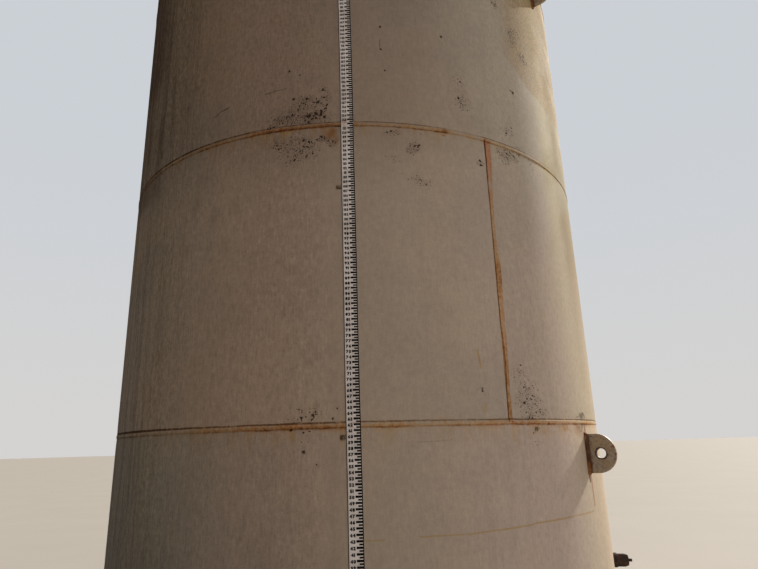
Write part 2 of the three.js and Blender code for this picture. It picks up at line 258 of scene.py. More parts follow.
def turned(profile, steps=96, centre=(0.0, 0.0, 0.0)):
    """The mesh of a profile that is turned about an upright axis."""
    radii, levels = np.asarray(profile, float).T
    return swept(on_circle(radii, around(steps), levels) + np.asarray(centre), loop=True)


def oblong(inner, outer, low, high):
    return [(inner, low), (outer, low), (outer, high), (inner, high)]


def rounded(profile, radius):
    """Cuts each corner of a profile to three points."""
    corners = np.asarray(profile, float)
    result = []
    for i, corner in enumerate(corners):
        before, after = (
            corner + (other - corner) / np.linalg.norm(other - corner) * radius
            for other in (corners[i - 1], corners[(i + 1) % len(corners)])
        )
        result += [before, (before + after + 2 * corner) / 4 * 0.6 + corner * 0.4, after]
    return np.array(result)


def ripple(length, amount):
    """A smooth random run of values about zero."""
    raw = np.tile(rng.normal(size=length), 3)
    fine, broad = (
        np.convolve(raw, kernel / kernel.sum(), "same")[length:2 * length]
        for kernel in (np.hanning(5), np.hanning(31))
    )
    return amount * (0.6 * fine + 1.2 * broad)


def spread(low, high, count):
    """Values from low to high that lie closer together near both ends."""
    return low + (high - low) * (1 - np.cos(np.linspace(0, math.pi, count))) / 2


def hexagon(across_flats, height, azimuth=0.0, chamfer=0.08):
    """A hexagon head or nut that stands on its origin."""
    flat = across_flats / 2
    angles = np.radians(azimuth + np.arange(0, 360, 30))
    radii = np.tile((flat / math.cos(math.radians(30)), flat), 6)
    top = np.minimum(radii, flat * 1.02) * (1 - chamfer)
    rows = ((radii, 0.0), (radii, height * (1 - chamfer * 3)), (top, height))
    return swept([stacked(r * np.cos(angles), r * np.sin(angles), z) for r, z in rows])


def bead_rows(spots, leg, section, place):
    """The sections of a weld bead, scaled by the leg at each spot and put in their places."""
    return [
        [place(spot, out * size, up * size) for out, up in section]
        for spot, size in zip(spots, leg)
    ]


# Shaders

def sign(operation):
    """What an arithmetic sign does with a field at its left, and with one only at its right."""
    return (
        lambda field, other: calc(operation, field, other),
        lambda field, other: calc(operation, other, field),
    )


class Field:
    """A value over a surface: the output of a shader node, which arithmetic works on."""

    __add__, __radd__ = sign("ADD")
    __sub__, __rsub__ = sign("SUBTRACT")
    __mul__, __rmul__ = sign("MULTIPLY")
    __truediv__, __rtruediv__ = sign("DIVIDE")

    def __init__(self, socket):
        self.socket = socket

    def __abs__(self):
        return calc("ABSOLUTE", self)


def feed(slot, value):
    """Gives a node's input a constant or another node's output."""
    if isinstance(value, Field):
        slot.id_data.links.new(value.socket, slot)
    elif slot.type == "RGBA":
        slot.default_value = (*value[:3], 1.0)
    else:
        slot.default_value = value


def add_node(kind, inputs, output=0, **settings):
    """Adds a shader node, feeds its inputs by number or by name, and gives one of its outputs."""
    inputs = inputs if isinstance(inputs, dict) else dict(enumerate(inputs))
    tree = next(v for v in inputs.values() if isinstance(v, Field)).socket.id_data
    made = tree.nodes.new(f"ShaderNode{kind}")
    for name, value in settings.items():
        setattr(made, name, value)
    for key, value in inputs.items():
        feed(made.inputs[key], value)
    return Field(made.outputs[output])


def calc(operation, *values, clamp=False):
    return add_node("Math", values, operation=operation, use_clamp=clamp)


def vector(operation, *values):
    output = "Value" if operation in ("LENGTH", "DOT_PRODUCT") else "Vector"
    return add_node("VectorMath", values, output, operation=operation)


def scaled(direction, factor):
    return add_node("VectorMath", {0: direction, "Scale": factor}, operation="SCALE")


def combined(x, y, z):
    return add_node("CombineXYZ", (x, y, z))


def parts_of(field):
    """The three values of a vector or colour."""
    return [Field(output) for output in add_node("SeparateXYZ", [field]).socket.node.outputs]


def smooth(field, start, end, low=0.0, high=1.0):
    """Rises smoothly from low at start to high at end."""
    return add_node("MapRange", (field, start, end, low, high), interpolation_type="SMOOTHSTEP")


def band(field, middle, half, soft):
    """1 within half of the middle, fading out over soft."""
    return smooth(abs(field - middle), half + soft, half)


def curves(field, rows):
    """Values that follow rows of (field, three or four values), joined by straight lines."""
    start, end = rows[0][0], rows[-1][0]
    ramp = add_node("ValToRGB", [add_node("MapRange", (field, start, end))]).socket.node
    elements = ramp.color_ramp.elements
    for i, (place, *values) in enumerate(rows):
        between = 0 < i < len(rows) - 1
        share = (place - start) / (end - start)
        element = elements.new(share) if between else elements[-1 if i else 0]
        element.color = (*values, 1)[:4]
    return Field(ramp.outputs[0]), Field(ramp.outputs[1])


def strongest(*fields):
    return reduce(lambda first, second: calc("MAXIMUM", first, second), fields)


def blend(factor, first, second):
    return first + (second - first) * factor


def mix(factor, first, second, way="MIX"):
    inputs = {0: factor, 6: first, 7: second}
    return add_node("Mix", inputs, 2, data_type="RGBA", blend_type=way, clamp_factor=True)


def noise(where, scale, detail=3.0, roughness=0.5, stretch=None, output=0):
    """A random field from 0 to 1; stretch squeezes its grain along each axis."""
    if stretch:
        where = vector("MULTIPLY", where, stretch)
    inputs = {"Vector": where, "Scale": scale, "Detail": detail, "Roughness": roughness}
    return add_node("TexNoise", inputs, output)


def dots(where, density, cells):
    """Round dots of mixed sizes, none where density is 0, with so many cells to a metre."""
    inputs = {"Vector": where, "Scale": cells}
    cell = add_node("TexVoronoi", inputs, "Color", voronoi_dimensions="2D")
    size, chance, _ = parts_of(cell)
    reach = (size * size * 0.9 + 0.3) * smooth(density - chance, 0.0, 0.6) * 0.40
    return smooth(Field(cell.socket.node.outputs["Distance"]) - reach, 0.0, -0.08)


def patch(where, centre, reach, soft=0.5):
    """A soft-edged oval of the unrolled shell: 1 inside and 0 outside."""
    away = vector("SUBTRACT", where, (*centre, 0.0))
    distance = vector("LENGTH", vector("MULTIPLY", away, (1 / reach[0], 1 / reach[1], 0.0)))
    return smooth(distance, 1.0, 1.0 - soft)


def stroke(where, start, end, width):
    """A line on the unrolled shell."""
    run = np.subtract(end, start)
    away = vector("SUBTRACT", where, (*start, 0.0))
    share = vector("DOT_PRODUCT", away, (*run / np.dot(run, run), 0.0))
    share = calc("ADD", share, 0.0, clamp=True)
    nearest = scaled((*run, 0.0), share)
    return smooth(vector("LENGTH", vector("SUBTRACT", away, nearest)), width, width * 0.2)


def rgb(*levels):
    """A colour as it looks on a screen, from 0 to 255, as the shader's own numbers."""
    shares = [level / 255 for level in levels]
    return tuple(v / 12.92 if v <= 0.04045 else ((v + 0.055) / 1.055) ** 2.4 for v in shares)


class Surface:
    """A material that is built up coat by coat over the object's own coordinates."""

    def __init__(self, name):
        self.material = bpy.data.materials.new(name)
        self.material.use_nodes = True
        self.tree = self.material.node_tree
        self.shader = self.tree.nodes["Principled BSDF"]
        self.place = Field(self.tree.nodes.new("ShaderNodeTexCoord").outputs["Object"])
        self.x, self.y, self.z = parts_of(self.place)
        self.azimuth = calc("ARCTAN2", self.x, 0 - self.y) * math.degrees(1)
        self.along = self.azimuth * SHELL_DEGREE
        self.unrolled = combined(self.along, self.z, 0.0)

    def noise(self, *grain, **settings):
        return noise(self.place, *grain, **settings)

    def torn(self, scale, detail, reach):
        """The unrolled shell, pushed about at random, so that a mark on it gets a torn edge."""
        push = vector("SUBTRACT", self.noise(scale, detail, output=1), (0.5, 0.5, 0.5))
        return vector("ADD", self.unrolled, scaled(push, reach))

    def coat(self, amount, colour):
        """Lays a colour over the one so far."""
        self.colour = mix(amount, self.colour, colour)

    def tint(self, amount, tint):
        """Multiplies the colour so far by a tint."""
        self.colour = mix(amount, self.colour, tint, "MULTIPLY")

    def finish(self, roughness, height=None, bump=0.5, distance=0.001, metallic=0.0):
        feed(self.shader.inputs["Base Color"], self.colour)
        feed(self.shader.inputs["Roughness"], roughness)
        feed(self.shader.inputs["Metallic"], metallic)
        if height is not None:
            inputs = {"Strength": bump, "Distance": distance, "Height": height}
            feed(self.shader.inputs["Normal"], add_node("Bump", inputs))
        return self.material


CREAM = rgb(182, 165, 148)
CREAM_GREY = rgb(172, 158, 143)
CREAM_WARM = rgb(171, 151, 124)
CREAM_MOTTLE = rgb(186, 152, 106)
GRIME = rgb(104, 92, 76)
SOOT = rgb(58, 47, 42)
RUST_DARK = rgb(74, 44, 28)
RUST_LINE = rgb(78, 48, 27)
RUST = rgb(144, 90, 44)
RUST_OCHRE = rgb(128, 88, 46)
RUST_BRIGHT = rgb(192, 128, 64)
OCHRE = rgb(168, 138, 84)
PIT = rgb(46, 32, 23)
BLACK = rgb(14, 12, 12)

# What rust multiplies the paint's colour by, from none to much: between the edges of a girth seam,
# at the right of a vertical one, and in the thin lines at their edges.
FILL_TINTS = ((0, 1, 1, 1), (0.3, 1.02, 0.83, 0.58), (0.6, 0.93, 0.61, 0.34), (1, 0.50, 0.27, 0.12))
OCHRE_TINTS = (
    (0, 1, 1, 1), (0.4, 1.02, 0.84, 0.66), (0.7, 0.97, 0.67, 0.38), (1, 0.64, 0.37, 0.17),
)
# The lines' tints also carry painted shade at the left toe of a vertical weld.
LINE_TINTS = ((0, 1, 1, 1), (0.5, 0.50, 0.40, 0.31), (1, 0.22, 0.14, 0.10))
RED_TINT = (0.60, 0.33, 0.22)
PINK_TINT = (0.96, 0.62, 0.58)


def hundredths(rows):
    """Rows whose values after the first are given in hundredths."""
    return [(first, *(value / 100 for value in values)) for first, *values in rows]


def millimetres(count, rows):
    """Rows whose first values are given in millimetres."""
    return [(*(value / 1000 for value in row[:count]), *row[count:]) for row in rows]


# Rust at the two lower girth seams: azimuth, line over the weld, line under it, the weld, redness.
LOWER_SEAM_RUST = hundredths((
    (-75, 100, 85, 22, 0), (-50, 100, 80, 22, 0), (-45, 100, 40, 20, 0), (-33, 85, 25, 30, 0),
    (-28, 70, 30, 52, 0), (-20, 65, 50, 66, 0), (-12, 80, 70, 88, 0), (-9, 80, 80, 100, 10),
    (-3, 70, 60, 90, 20), (-1.5, 60, 50, 65, 0), (1, 60, 60, 52, 0), (8, 55, 55, 46, 0),
    (9.5, 50, 20, 30, 0), (14, 45, 50, 38, 0), (18, 45, 50, 42, 10), (22, 50, 60, 54, 20),
    (25.5, 55, 50, 50, 10), (27, 65, 65, 80, 50), (36, 60, 65, 74, 50), (38.5, 55, 55, 55, 30),
    (46, 55, 50, 50, 20), (50, 70, 70, 64, 30), (55, 70, 70, 58, 30), (62, 60, 35, 20, 10),
    (75, 50, 35, 30, 10),
))
UPPER_SEAM_RUST = hundredths((
    (-75, 95, 60, 15, 0), (-60, 100, 60, 20, 10), (-44, 100, 60, 30, 30), (-33, 95, 60, 45, 20),
    (-31, 85, 60, 60, 0), (-21, 80, 85, 62, 0), (-19.5, 60, 80, 85, 10), (-16, 50, 90, 110, 30),
    (-9, 45, 80, 80, 30), (-4, 50, 85, 105, 40), (-1, 50, 70, 85, 40), (1, 45, 55, 50, 20),
    (6, 45, 60, 36, 10), (14, 45, 60, 38, 10), (16, 40, 70, 58, 30), (17.5, 35, 90, 100, 60),
    (18.7, 20, 30, 28, 0), (22, 15, 15, 32, 0), (25.5, 20, 25, 30, 20), (27, 60, 40, 60, 60),
    (29, 40, 35, 36, 0), (32, 52, 52, 38, 0), (36, 54, 48, 30, 0), (56, 54, 50, 20, 0),
    (75, 50, 42, 20, 0),
))

# Rust at a vertical seam, by the share of the course's height: line, pink, ochre, width.
UPRIGHT_RUST = hundredths((
    (0.0, 55, 10, 75, 40), (0.06, 60, 0, 75, 40), (0.10, 60, 0, 50, 20), (0.12, 60, 15, 80, 40),
    (0.16, 55, 15, 75, 60), (0.20, 50, 0, 64, 60), (0.26, 50, 0, 56, 70), (0.30, 50, 0, 46, 70),
    (0.38, 60, 0, 45, 80), (0.42, 60, 0, 62, 90), (0.46, 48, 10, 82, 100), (0.52, 52, 0, 76, 100),
    (0.55, 65, 0, 60, 60), (0.62, 55, 0, 40, 40), (0.66, 40, 0, 45, 30), (0.76, 45, 10, 45, 40),
    (0.79, 80, 30, 40, 60), (0.86, 85, 60, 32, 90), (0.95, 90, 70, 36, 120), (1.0, 95, 80, 50, 130),
))

# What else the front shows, in millimetres along the unrolled shell, from -Y, and up.

# Pits: middle along and up, reach along and up, density.
PITS = millimetres(4, (
    (-290, 3115, 270, 120, 1.8), (-235, 3115, 130, 60, 2.8), (-190, 3135, 80, 45, 2.2),
    (-385, 3100, 120, 60, 2.1), (-435, 3084, 80, 18, 2.2), (-230, 3200, 160, 90, 1.5),
    (-160, 3215, 60, 45, 1.5), (-170, 3265, 60, 45, 1.3), (-415, 2980, 60, 65, 1.6),
    (-355, 2948, 55, 30, 1.7), (-270, 2980, 80, 40, 1.4), (-150, 2990, 80, 26, 2.2),
    (-110, 2965, 50, 30, 2.0), (-300, 2930, 200, 150, 1.3), (900, 1555, 60, 35, 1.8),
    (705, 2910, 45, 38, 1.8), (910, 3000, 140, 75, 1.9), (1032, 3063, 90, 50, 1.4),
    (939, 3157, 100, 70, 1.1), (607, 3260, 70, 110, 1.4), (1085, 3880, 90, 140, 1.6),
    (1160, 3770, 80, 70, 1.7), (150, 3540, 150, 200, 0.35), (942, 4071, 60, 60, 1.8),
    (300, 2936, 60, 60, 1.9), (333, 2738, 110, 50, 1.3), (190, 3020, 80, 30, 1.6),
    (376, 3020, 60, 30, 1.0), (190, 2870, 110, 60, 0.7), (600, 3350, 60, 120, 0.9),
    (1150, 3005, 70, 60, 0.9), (-230, 1600, 140, 70, 0.9), (-290, 1562, 70, 20, 1.2),
    (-250, 1450, 50, 90, 0.5), (890, 1650, 140, 170, 1.25), (840, 1760, 80, 80, 0.9),
    (980, 1570, 100, 50, 1.1), (920, 1430, 50, 80, 0.8), (932, 1492, 40, 20, 2.2),
    (602, 1678, 30, 16, 1.8), (1410, 1552, 100, 16, 2.6), (1390, 1500, 90, 26, 1.4),
))

# Single spots: along, up, radius.
SPOTS = millimetres(3, (
    (-326, 3229, 9), (-192, 3198, 8), (-160, 3222, 7), (-165, 3275, 6), (-351, 3408, 7),
    (-292, 3376, 6), (-240, 3118, 12), (-205, 3130, 11), (-176, 2991, 8), (-266, 2979, 8),
    (-278, 1606, 5), (-201, 1593, 6), (-213, 1582, 8), (-266, 1569, 7), (-122, 1561, 5),
    (-99, 1607, 4), (-256, 1503, 6), (-231, 1511, 4), (-254, 1421, 9), (-195, 1367, 4),
    (-314, 1519, 9), (150, 3669, 8), (150, 3525, 6), (507, 3664, 8), (168, 3388, 6),
    (858, 1625, 9), (880, 1644, 7), (932, 1492, 8), (855, 1810, 5), (602, 1678, 7),
    (703, 2919, 8), (708, 2896, 6), (1021, 3459, 11), (1000, 3463, 6),
))

# Stains: middle along and up, reach along and up, strength, colour.
STAINS = millimetres(4, (
    (-115, 3018, 60, 34, 0.85, RUST_OCHRE), (-86, 2985, 34, 40, 0.75, RUST_OCHRE),
    (-928, 2728, 60, 110, 0.30, GRIME), (-775, 2634, 60, 120, 0.26, GRIME),
    (-985, 2480, 70, 110, 0.22, GRIME), (-700, 2452, 50, 80, 0.18, GRIME),
    (-870, 2850, 80, 60, 0.30, GRIME), (-640, 2640, 40, 90, 0.18, GRIME),
    (-345, 3030, 70, 20, 0.40, OCHRE), (-520, 3042, 50, 18, 0.45, OCHRE),
    (215, 3035, 30, 18, 0.40, RUST), (486, 3037, 26, 12, 0.60, RUST),
    (640, 3046, 50, 12, 0.45, OCHRE), (860, 3042, 60, 14, 0.60, OCHRE),
    (400, 1560, 80, 20, 0.20, OCHRE), (-90, 1548, 50, 30, 0.35, OCHRE),
    (598, 1830, 14, 60, 0.45, OCHRE), (619, 1592, 45, 30, 0.40, OCHRE),
    (1174, 1497, 110, 22, 0.80, OCHRE), (800, 1500, 60, 30, 0.35, OCHRE),
    (1410, 1545, 120, 30, 0.75, GRIME), (1400, 1512, 110, 24, 0.70, RUST_DARK),
    (780, 1450, 30, 60, 0.35, OCHRE), (1000, 1490, 200, 40, 0.30, OCHRE),
    (1360, 1490, 110, 40, 0.40, RUST), (-330, 1490, 120, 30, 0.30, OCHRE),
))

# Scratches: start along and up, end along and up, width, strength, colour.
SCRATCHES = millimetres(5, (
    (249, 1057, 482, 1054, 5.5, 0.60, OCHRE), (482, 1054, 666, 1059, 6, 0.65, OCHRE),
    (666, 1059, 883, 1067, 6.5, 0.65, OCHRE), (883, 1067, 1125, 1071, 7, 0.70, OCHRE),
    (1125, 1071, 1420, 1069, 7, 0.55, OCHRE), (200, 1448, 413, 1455, 4, 0.28, GRIME),
    (3, 1053, 97, 1053, 5, 0.55, OCHRE), (594, 1874, 603, 1786, 7, 0.65, OCHRE),
    (-487, 3289, -426, 3298, 5, 0.70, SOOT), (-426, 3298, -368, 3302, 4, 0.55, SOOT),
    (-815, 3231, -773, 3253, 5.5, 0.70, SOOT), (-773, 3253, -725, 3263, 6.5, 0.70, SOOT),
    (146, 3583, 145, 3537, 5, 0.50, SOOT), (1448, 1535, 1436, 1470, 11, 0.90, RUST_DARK),
    # The stroke down the lower lug's left root, from 1470 to 1262 mm, is rust with painted shadow
    # beside the lug.
    (1448, 1262, 1452, 1100, 18, 0.55, RUST), (1414, 1470, 1414, 1262, 14, 0.80, RUST_DARK),
    (1424, 1262, 1426, 1225, 20, 0.85, RUST_DARK),
))

# How far past the ends of a plate, in degrees, and from its middle level a mark may still reach it
MARK_MARGIN = 12
MARK_RISE = 0.9


def seam_fields(s, wander):
    """The nearest girth seam, and how far a point lies above it and beside a vertical seam."""
    steps = (s.z - FIRST_SEAM) / WELD_PITCH
    seam = calc("MINIMUM", calc("MAXIMUM", calc("ROUND", steps), 0.0), COURSE_COUNT - 2.0)
    above = s.z - (seam * WELD_PITCH + FIRST_SEAM) + wander
    course = calc("FLOOR", (s.z - (BOTTOM_THICKNESS - ROOT_GAP / 2)) / WELD_PITCH)
    stagger = smooth(calc("PINGPONG", course, 1.0), 0.6, 0.4) * SEAM_STAGGER
    beside = calc("WRAP", s.azimuth - SEAM_AZIMUTH - stagger, 90.0, -90.0)
    return seam, above, beside * SHELL_DEGREE + wander


def seam_rust(s, breakup, fine):
    """Adds rust between and under the edges of the girth welds.

    Gives the thin dark lines at their edges, and where the surface is rough.
    """
    seam, above, _ = seam_fields(s, (s.noise(9, 3) - 0.5) * 0.006)
    lower, lower_red = curves(s.azimuth, LOWER_SEAM_RUST)
    upper, upper_red = curves(s.azimuth, UPPER_SEAM_RUST)
    unseen = smooth(s.noise(1.1, 3), 0.36, 0.66, 0.20, 1.10)
    second = smooth(seam, 0.4, 0.6)
    elsewhere = strongest(smooth(seam, 1.4, 1.6), smooth(abs(s.azimuth), 68, 76))
    chosen = mix(second, lower, upper)
    chosen = mix(elsewhere, chosen, combined(unseen * 0.8, unseen * 0.85, unseen))
    red = blend(elsewhere, blend(second, lower_red, upper_red), unseen * 0.5)
    over, below, weld = parts_of(chosen)

    ragged = (fine - 0.5) * 0.007
    inside = band(above + ragged, -0.0005, 0.0100, 0.0030)
    foot = smooth(above, 0.010, -0.009)
    uneven = (fine - 0.5) * 1.9 + (breakup - 0.5) * 0.9
    rusty = weld * (foot * 0.50 + 0.28) + uneven * smooth(weld, 0.0, 0.6)
    fill, _ = curves(rusty, FILL_TINTS)
    s.tint(inside, mix(red * smooth(rusty, 0.3, 0.8), fill, RED_TINT))

    runs = s.noise(1.0, 4, 0.6, stretch=(26, 26, 1.6))
    under = smooth(above, -0.006, -0.012) * weld
    s.tint(under * smooth(above, -0.13, -0.012) * smooth(runs, 0.44, 0.64), (0.98, 0.84, 0.60))
    s.tint(under * smooth(above, -0.038, -0.012) * smooth(breakup, 0.36, 0.58), (0.96, 0.74, 0.50))
    halo = smooth(above, 0.032, 0.012) * smooth(above, 0.006, 0.012)
    s.tint(halo * over * smooth(breakup, 0.42, 0.62) * 0.5, (0.90, 0.80, 0.70))

    broken = smooth(s.noise(24, 4, 0.7), 0.34, 0.52, 0.35, 1.0)
    thick = over * over
    thick = thick * thick * 0.0030
    top_line = band(above + ragged * 0.7, 0.0130, thick + 0.0014, 0.0030) * over * broken
    foot_line = band(above - ragged, -0.0124, 0.0024, 0.0034) * below * (1.35 - broken)
    lines = strongest(top_line, foot_line)
    return lines, strongest(inside * smooth(rusty, 0.2, 0.8), lines)


def upright_rust(s, breakup, fine):
    """Adds rust at the right of the vertical welds, in a band that widens.

    Gives the dark line at their left, rust with painted shade at the bead's left toe, and where the
    surface is rough.
    """
    _, _, beside = seam_fields(s, (s.noise(7, 3) - 0.5) * 0.006)
    share = calc("FRACT", (s.z - BOTTOM_THICKNESS) / WELD_PITCH)
    chosen, wide = curves(share, UPRIGHT_RUST)
    line, pink, ochre = parts_of(chosen)
    ragged = (fine - 0.5) * 0.010 + (breakup - 0.5) * 0.010
    edge = wide * 0.020 + 0.008 + ragged
    inside = smooth(beside - edge, 0.003, -0.003) * smooth(beside, -0.013, -0.008)
    rusty = ochre + ((fine - 0.5) * 1.5 + (breakup - 0.5) * 0.8 + 0.10) * smooth(ochre, 0.0, 0.5)
    fill, _ = curves(rusty, OCHRE_TINTS)
    pink = pink * smooth(breakup + pink * 0.3, 0.46, 0.66)
    s.tint(inside, mix(pink, fill, PINK_TINT, "MULTIPLY"))
    core = smooth(share, 0.33, 0.24) * smooth(share, 0.09, 0.15)
    middle = core * 0.007 - 0.009 + ragged * 0.3
    broken = smooth(breakup, 0.32, 0.50, 0.50, 1.0)
    thick = core * 0.0020 + line * 0.0012 + 0.0002
    # The dark line at the weld's left toe: rust, with painted shade on the bead's side away from
    # the light.
    dark = band(beside - middle, 0.0, thick, 0.0034) * line * broken
    return dark, strongest(dark, inside * 0.6)


def weathered(s, cloud):
    """Painted shade and light, with some grime: darker left, high up and at the front's edges."""
    wave = (cloud - 0.5) * 12
    turn = s.azimuth + wave
    front = smooth(s.azimuth, -150, -100)
    left = smooth(turn, 8, -16) * front
    above = smooth(s.z, 2.58, 3.15)
    foot = smooth(s.z, FIRST_SEAM + 0.004, FIRST_SEAM - 0.004)
    shaded = smooth(turn, -14, -46) * front
    warm = smooth(s.azimuth + wave * 0.4, 42, 49) * smooth(turn, 100, 64)
    right_limb_shade = smooth(s.azimuth + wave * 0.3, 49, 56) * smooth(turn, 84, 60)
    edge = smooth(s.azimuth + wave * 0.6, -42, -56) * front
    left_edge_shade = smooth(s.azimuth + wave * 0.6, -30, -52) * front
    for amount, tint in (
        # Painted shade with grime: the left darker and warmer, and darker and cooler at its foot.
        (left, (0.86, 0.80, 0.77)),
        (left * foot, (0.90, 0.94, 0.98)),
        # Painted shade with grime: darker high up from the middle leftwards, and a touch greener
        # high up.
        (above * smooth(turn, 36, 6) * front, (0.73, 0.69, 0.71)),
        (above * front, (0.96, 1.01, 0.99)),
        (shaded, (0.86, 0.92, 0.92)),
        (shaded * smooth(s.z, 2.95, 3.60), (0.84, 0.80, 0.74)),
        # Painted light: cooler on the right. Its foot is lighter, with both painted light and
        # cleaner paint.
        (smooth(turn, 12, 30), (1.0, 1.02, 1.06)),
        (foot * smooth(turn, 4, 34) * smooth(s.azimuth, 150, 110), (1.17, 1.13, 1.15)),
        # Yellower where the sun starts to reach. Painted shade at the right edge of the front,
        # deeper high up.
        (warm, mix(smooth(s.z, 2.2, 2.8), (0.98, 1.01, 0.93), (0.98, 0.98, 0.80))),
        (right_limb_shade, mix(smooth(s.z, 1.6, 2.7), (0.96, 0.95, 0.92), (0.66, 0.61, 0.54))),
        # Painted shade at the left edge of the front: bluer low down, darkest high up and at the
        # upper seam.
        (edge * smooth(s.z, 2.6, 2.3), (0.86, 0.90, 0.98)),
        (
            edge * strongest(smooth(s.z, 3.55, 3.85), band(s.z, 2.98, 0.04, 0.09) * 0.7),
            (0.56, 0.50, 0.50),
        ),
        (left_edge_shade * band(s.z, 2.85, 0.30, 0.40), (0.84, 0.84, 0.85)),
        (shaded * foot, (0.965, 1.010, 0.990)),
    ):
        s.tint(amount, tint)


def tank_paint(name, bead=False, rust=0.0, course=None, plate=0):
    """Cream paint over rolled plate: rain streaks, grime, pits, rust at the welds, and painted
    shade.
    """
    def reached(x, z):
        """Whether a mark there shows on the plate."""
        if course is None:
            return False
        turn = math.degrees(x / SHELL_RADIUS) - seam_azimuth(course, plate)
        rise = z - course_base(course) - COURSE_HEIGHT / 2
        return (turn + MARK_MARGIN) % 360 < 180 + 2 * MARK_MARGIN and abs(rise) < MARK_RISE

    def shown(marks):
        return [mark for mark in marks if reached(*mark[:2])]

    s = Surface(name)
    cloud = s.noise(4.0, 5, 0.6)
    grain = s.noise(38, 4, 0.65)
    dust = s.noise(150, 3, 0.7)
    breakup = s.noise(16, 4, 0.65)
    fine = s.noise(60, 4, 0.7)

    s.colour = mix(smooth(s.noise(0.8, 4), 0.38, 0.62), CREAM, CREAM_GREY)
    s.coat(smooth(cloud, 0.48, 0.72) * 0.16, CREAM_WARM)
    rain = s.noise(1.0, 5, 0.6, stretch=(9, 9, 0.35))
    s.coat(smooth(rain, 0.50, 0.80) * 0.14, GRIME)
    weathered(s, cloud)

    # Dark streaks on the left that grow stronger high up: grime streaks that also carry painted
    # shade, deepest at the top left.
    shade_streaks_left = smooth(s.azimuth, -24, -64) * smooth(s.azimuth, -135, -70)
    streaks = s.noise(1.0, 6, 0.7, stretch=(20, 20, 0.8))
    s.coat(shade_streaks_left * smooth(streaks, 0.45, 0.59) * (smooth(s.z, 3.0, 3.3) * 0.40 + 0.38), SOOT)

    # On the third course, high on the right above an uneven edge near 3.5 m: a yellower band with
    # fine light and dark mottle.
    if course == 3:
        upper_right_mottle = smooth(s.azimuth, 32, 42) * smooth(s.azimuth + (cloud - 0.5) * 60, 86, 60)
        level = s.z + (cloud - 0.5) * 0.15 - smooth(s.azimuth, 46, 32) * 0.2
        upper_right_mottle = upper_right_mottle * smooth(level, 3.50, 3.54)
        s.tint(upper_right_mottle, (0.90, 0.85, 0.74))
        s.coat(upper_right_mottle * smooth(s.noise(70, 3, 0.6), 0.44, 0.56) * 0.45, CREAM_MOTTLE)
        s.coat(upper_right_mottle * smooth(s.noise(95, 3, 0.6), 0.50, 0.60) * 0.50, GRIME)

    left = smooth(s.azimuth, -3, -9) * smooth(s.azimuth, -170, -120)
    high = smooth(s.z, 3.00, 3.06)
    gain = left * 0.75 + smooth(s.azimuth, -28, -45) * left * (high * 1.4 + 1.0) + high * 0.1 + 0.95
    gain = gain + smooth(s.azimuth, 27, 32) * smooth(s.azimuth, 170, 120) * 0.25
    combed = s.noise(1.0, 4, 0.6, stretch=(110, 110, 20))
    tone = (grain - 0.5) * 0.32 + (dust - 0.5) * 0.36 + (combed - 0.5) * (left * 0.10 + 0.30)
    tone = tone * gain + (breakup - 0.5) * 0.10 + (cloud - 0.5) * 0.14 + 1
    s.colour = scaled(s.colour, tone)

    torn = s.torn(9, 4, 0.12)
    pits = 0.0
    if not bead:
        density = smooth(s.noise(1.6, 2), 0.60, 0.80) * smooth(abs(s.azimuth), 66, 80) * 0.7
        density = strongest(density, *(patch(torn, m[:2], m[2:4], 0.8) * m[4] for m in shown(PITS)))
        density = density + 0.04
        s.tint(smooth(density + (fine - 0.5) * 2.4, 0.6, 3.0), (0.76, 0.72, 0.72))
        large = strongest(dots(torn, (density - 1.1) * 0.6, 46), dots(torn, density * 0.6, 58))
        pits = strongest(large, dots(s.unrolled, density * 0.9, 110) * 0.85)
        s.coat(pits * 0.94, PIT)
        close = s.torn(60, 2, 0.02)
        spots = [patch(close, (x, z), (size * 1.3, size * 1.3), 0.6) for x, z, size in shown(SPOTS)]
        if spots:
            spot = strongest(*spots)
            s.coat(spot * 0.92, PIT)
            pits = strongest(pits, spot)

    worn = smooth(breakup, 0.34, 0.58, 0.3, 1.0)
    for x, z, reach_x, reach_z, strength, shade in shown(STAINS):
        s.coat(patch(torn, (x, z), (reach_x, reach_z), 0.9) * worn * strength, shade)
    eased = mix(0.88, torn, s.unrolled)
    worn = smooth(breakup, 0.34, 0.48, 0.25, 1.0)
    for x, z, end_x, end_z, width, strength, shade in SCRATCHES:
        if reached(x, z) or reached(end_x, end_z):
            s.coat(stroke(eased, (x, z), (end_x, end_z), width) * worn * strength, shade)

    seam_lines, seams = seam_rust(s, breakup, fine)
    upright_lines, uprights = upright_rust(s, breakup, fine)
    lines, _ = curves(strongest(seam_lines, upright_lines), LINE_TINTS)
    s.tint(1.0, lines)

    height = grain * 0.35 + dust * 0.12 - pits * 0.9 + strongest(seams, uprights) * fine * 0.9
    if bead:
        height = height + s.noise(160, 3) * 0.4
        s.coat(smooth(fine, 0.46, 0.60) * rust, mix(smooth(breakup, 0.42, 0.66), RUST, RUST_DARK))
    s.shader.inputs["Specular IOR Level"].default_value = 0.08
    return s.finish(smooth(cloud, 0.3, 0.7, 0.78, 0.90), height, 0.35, 0.002)


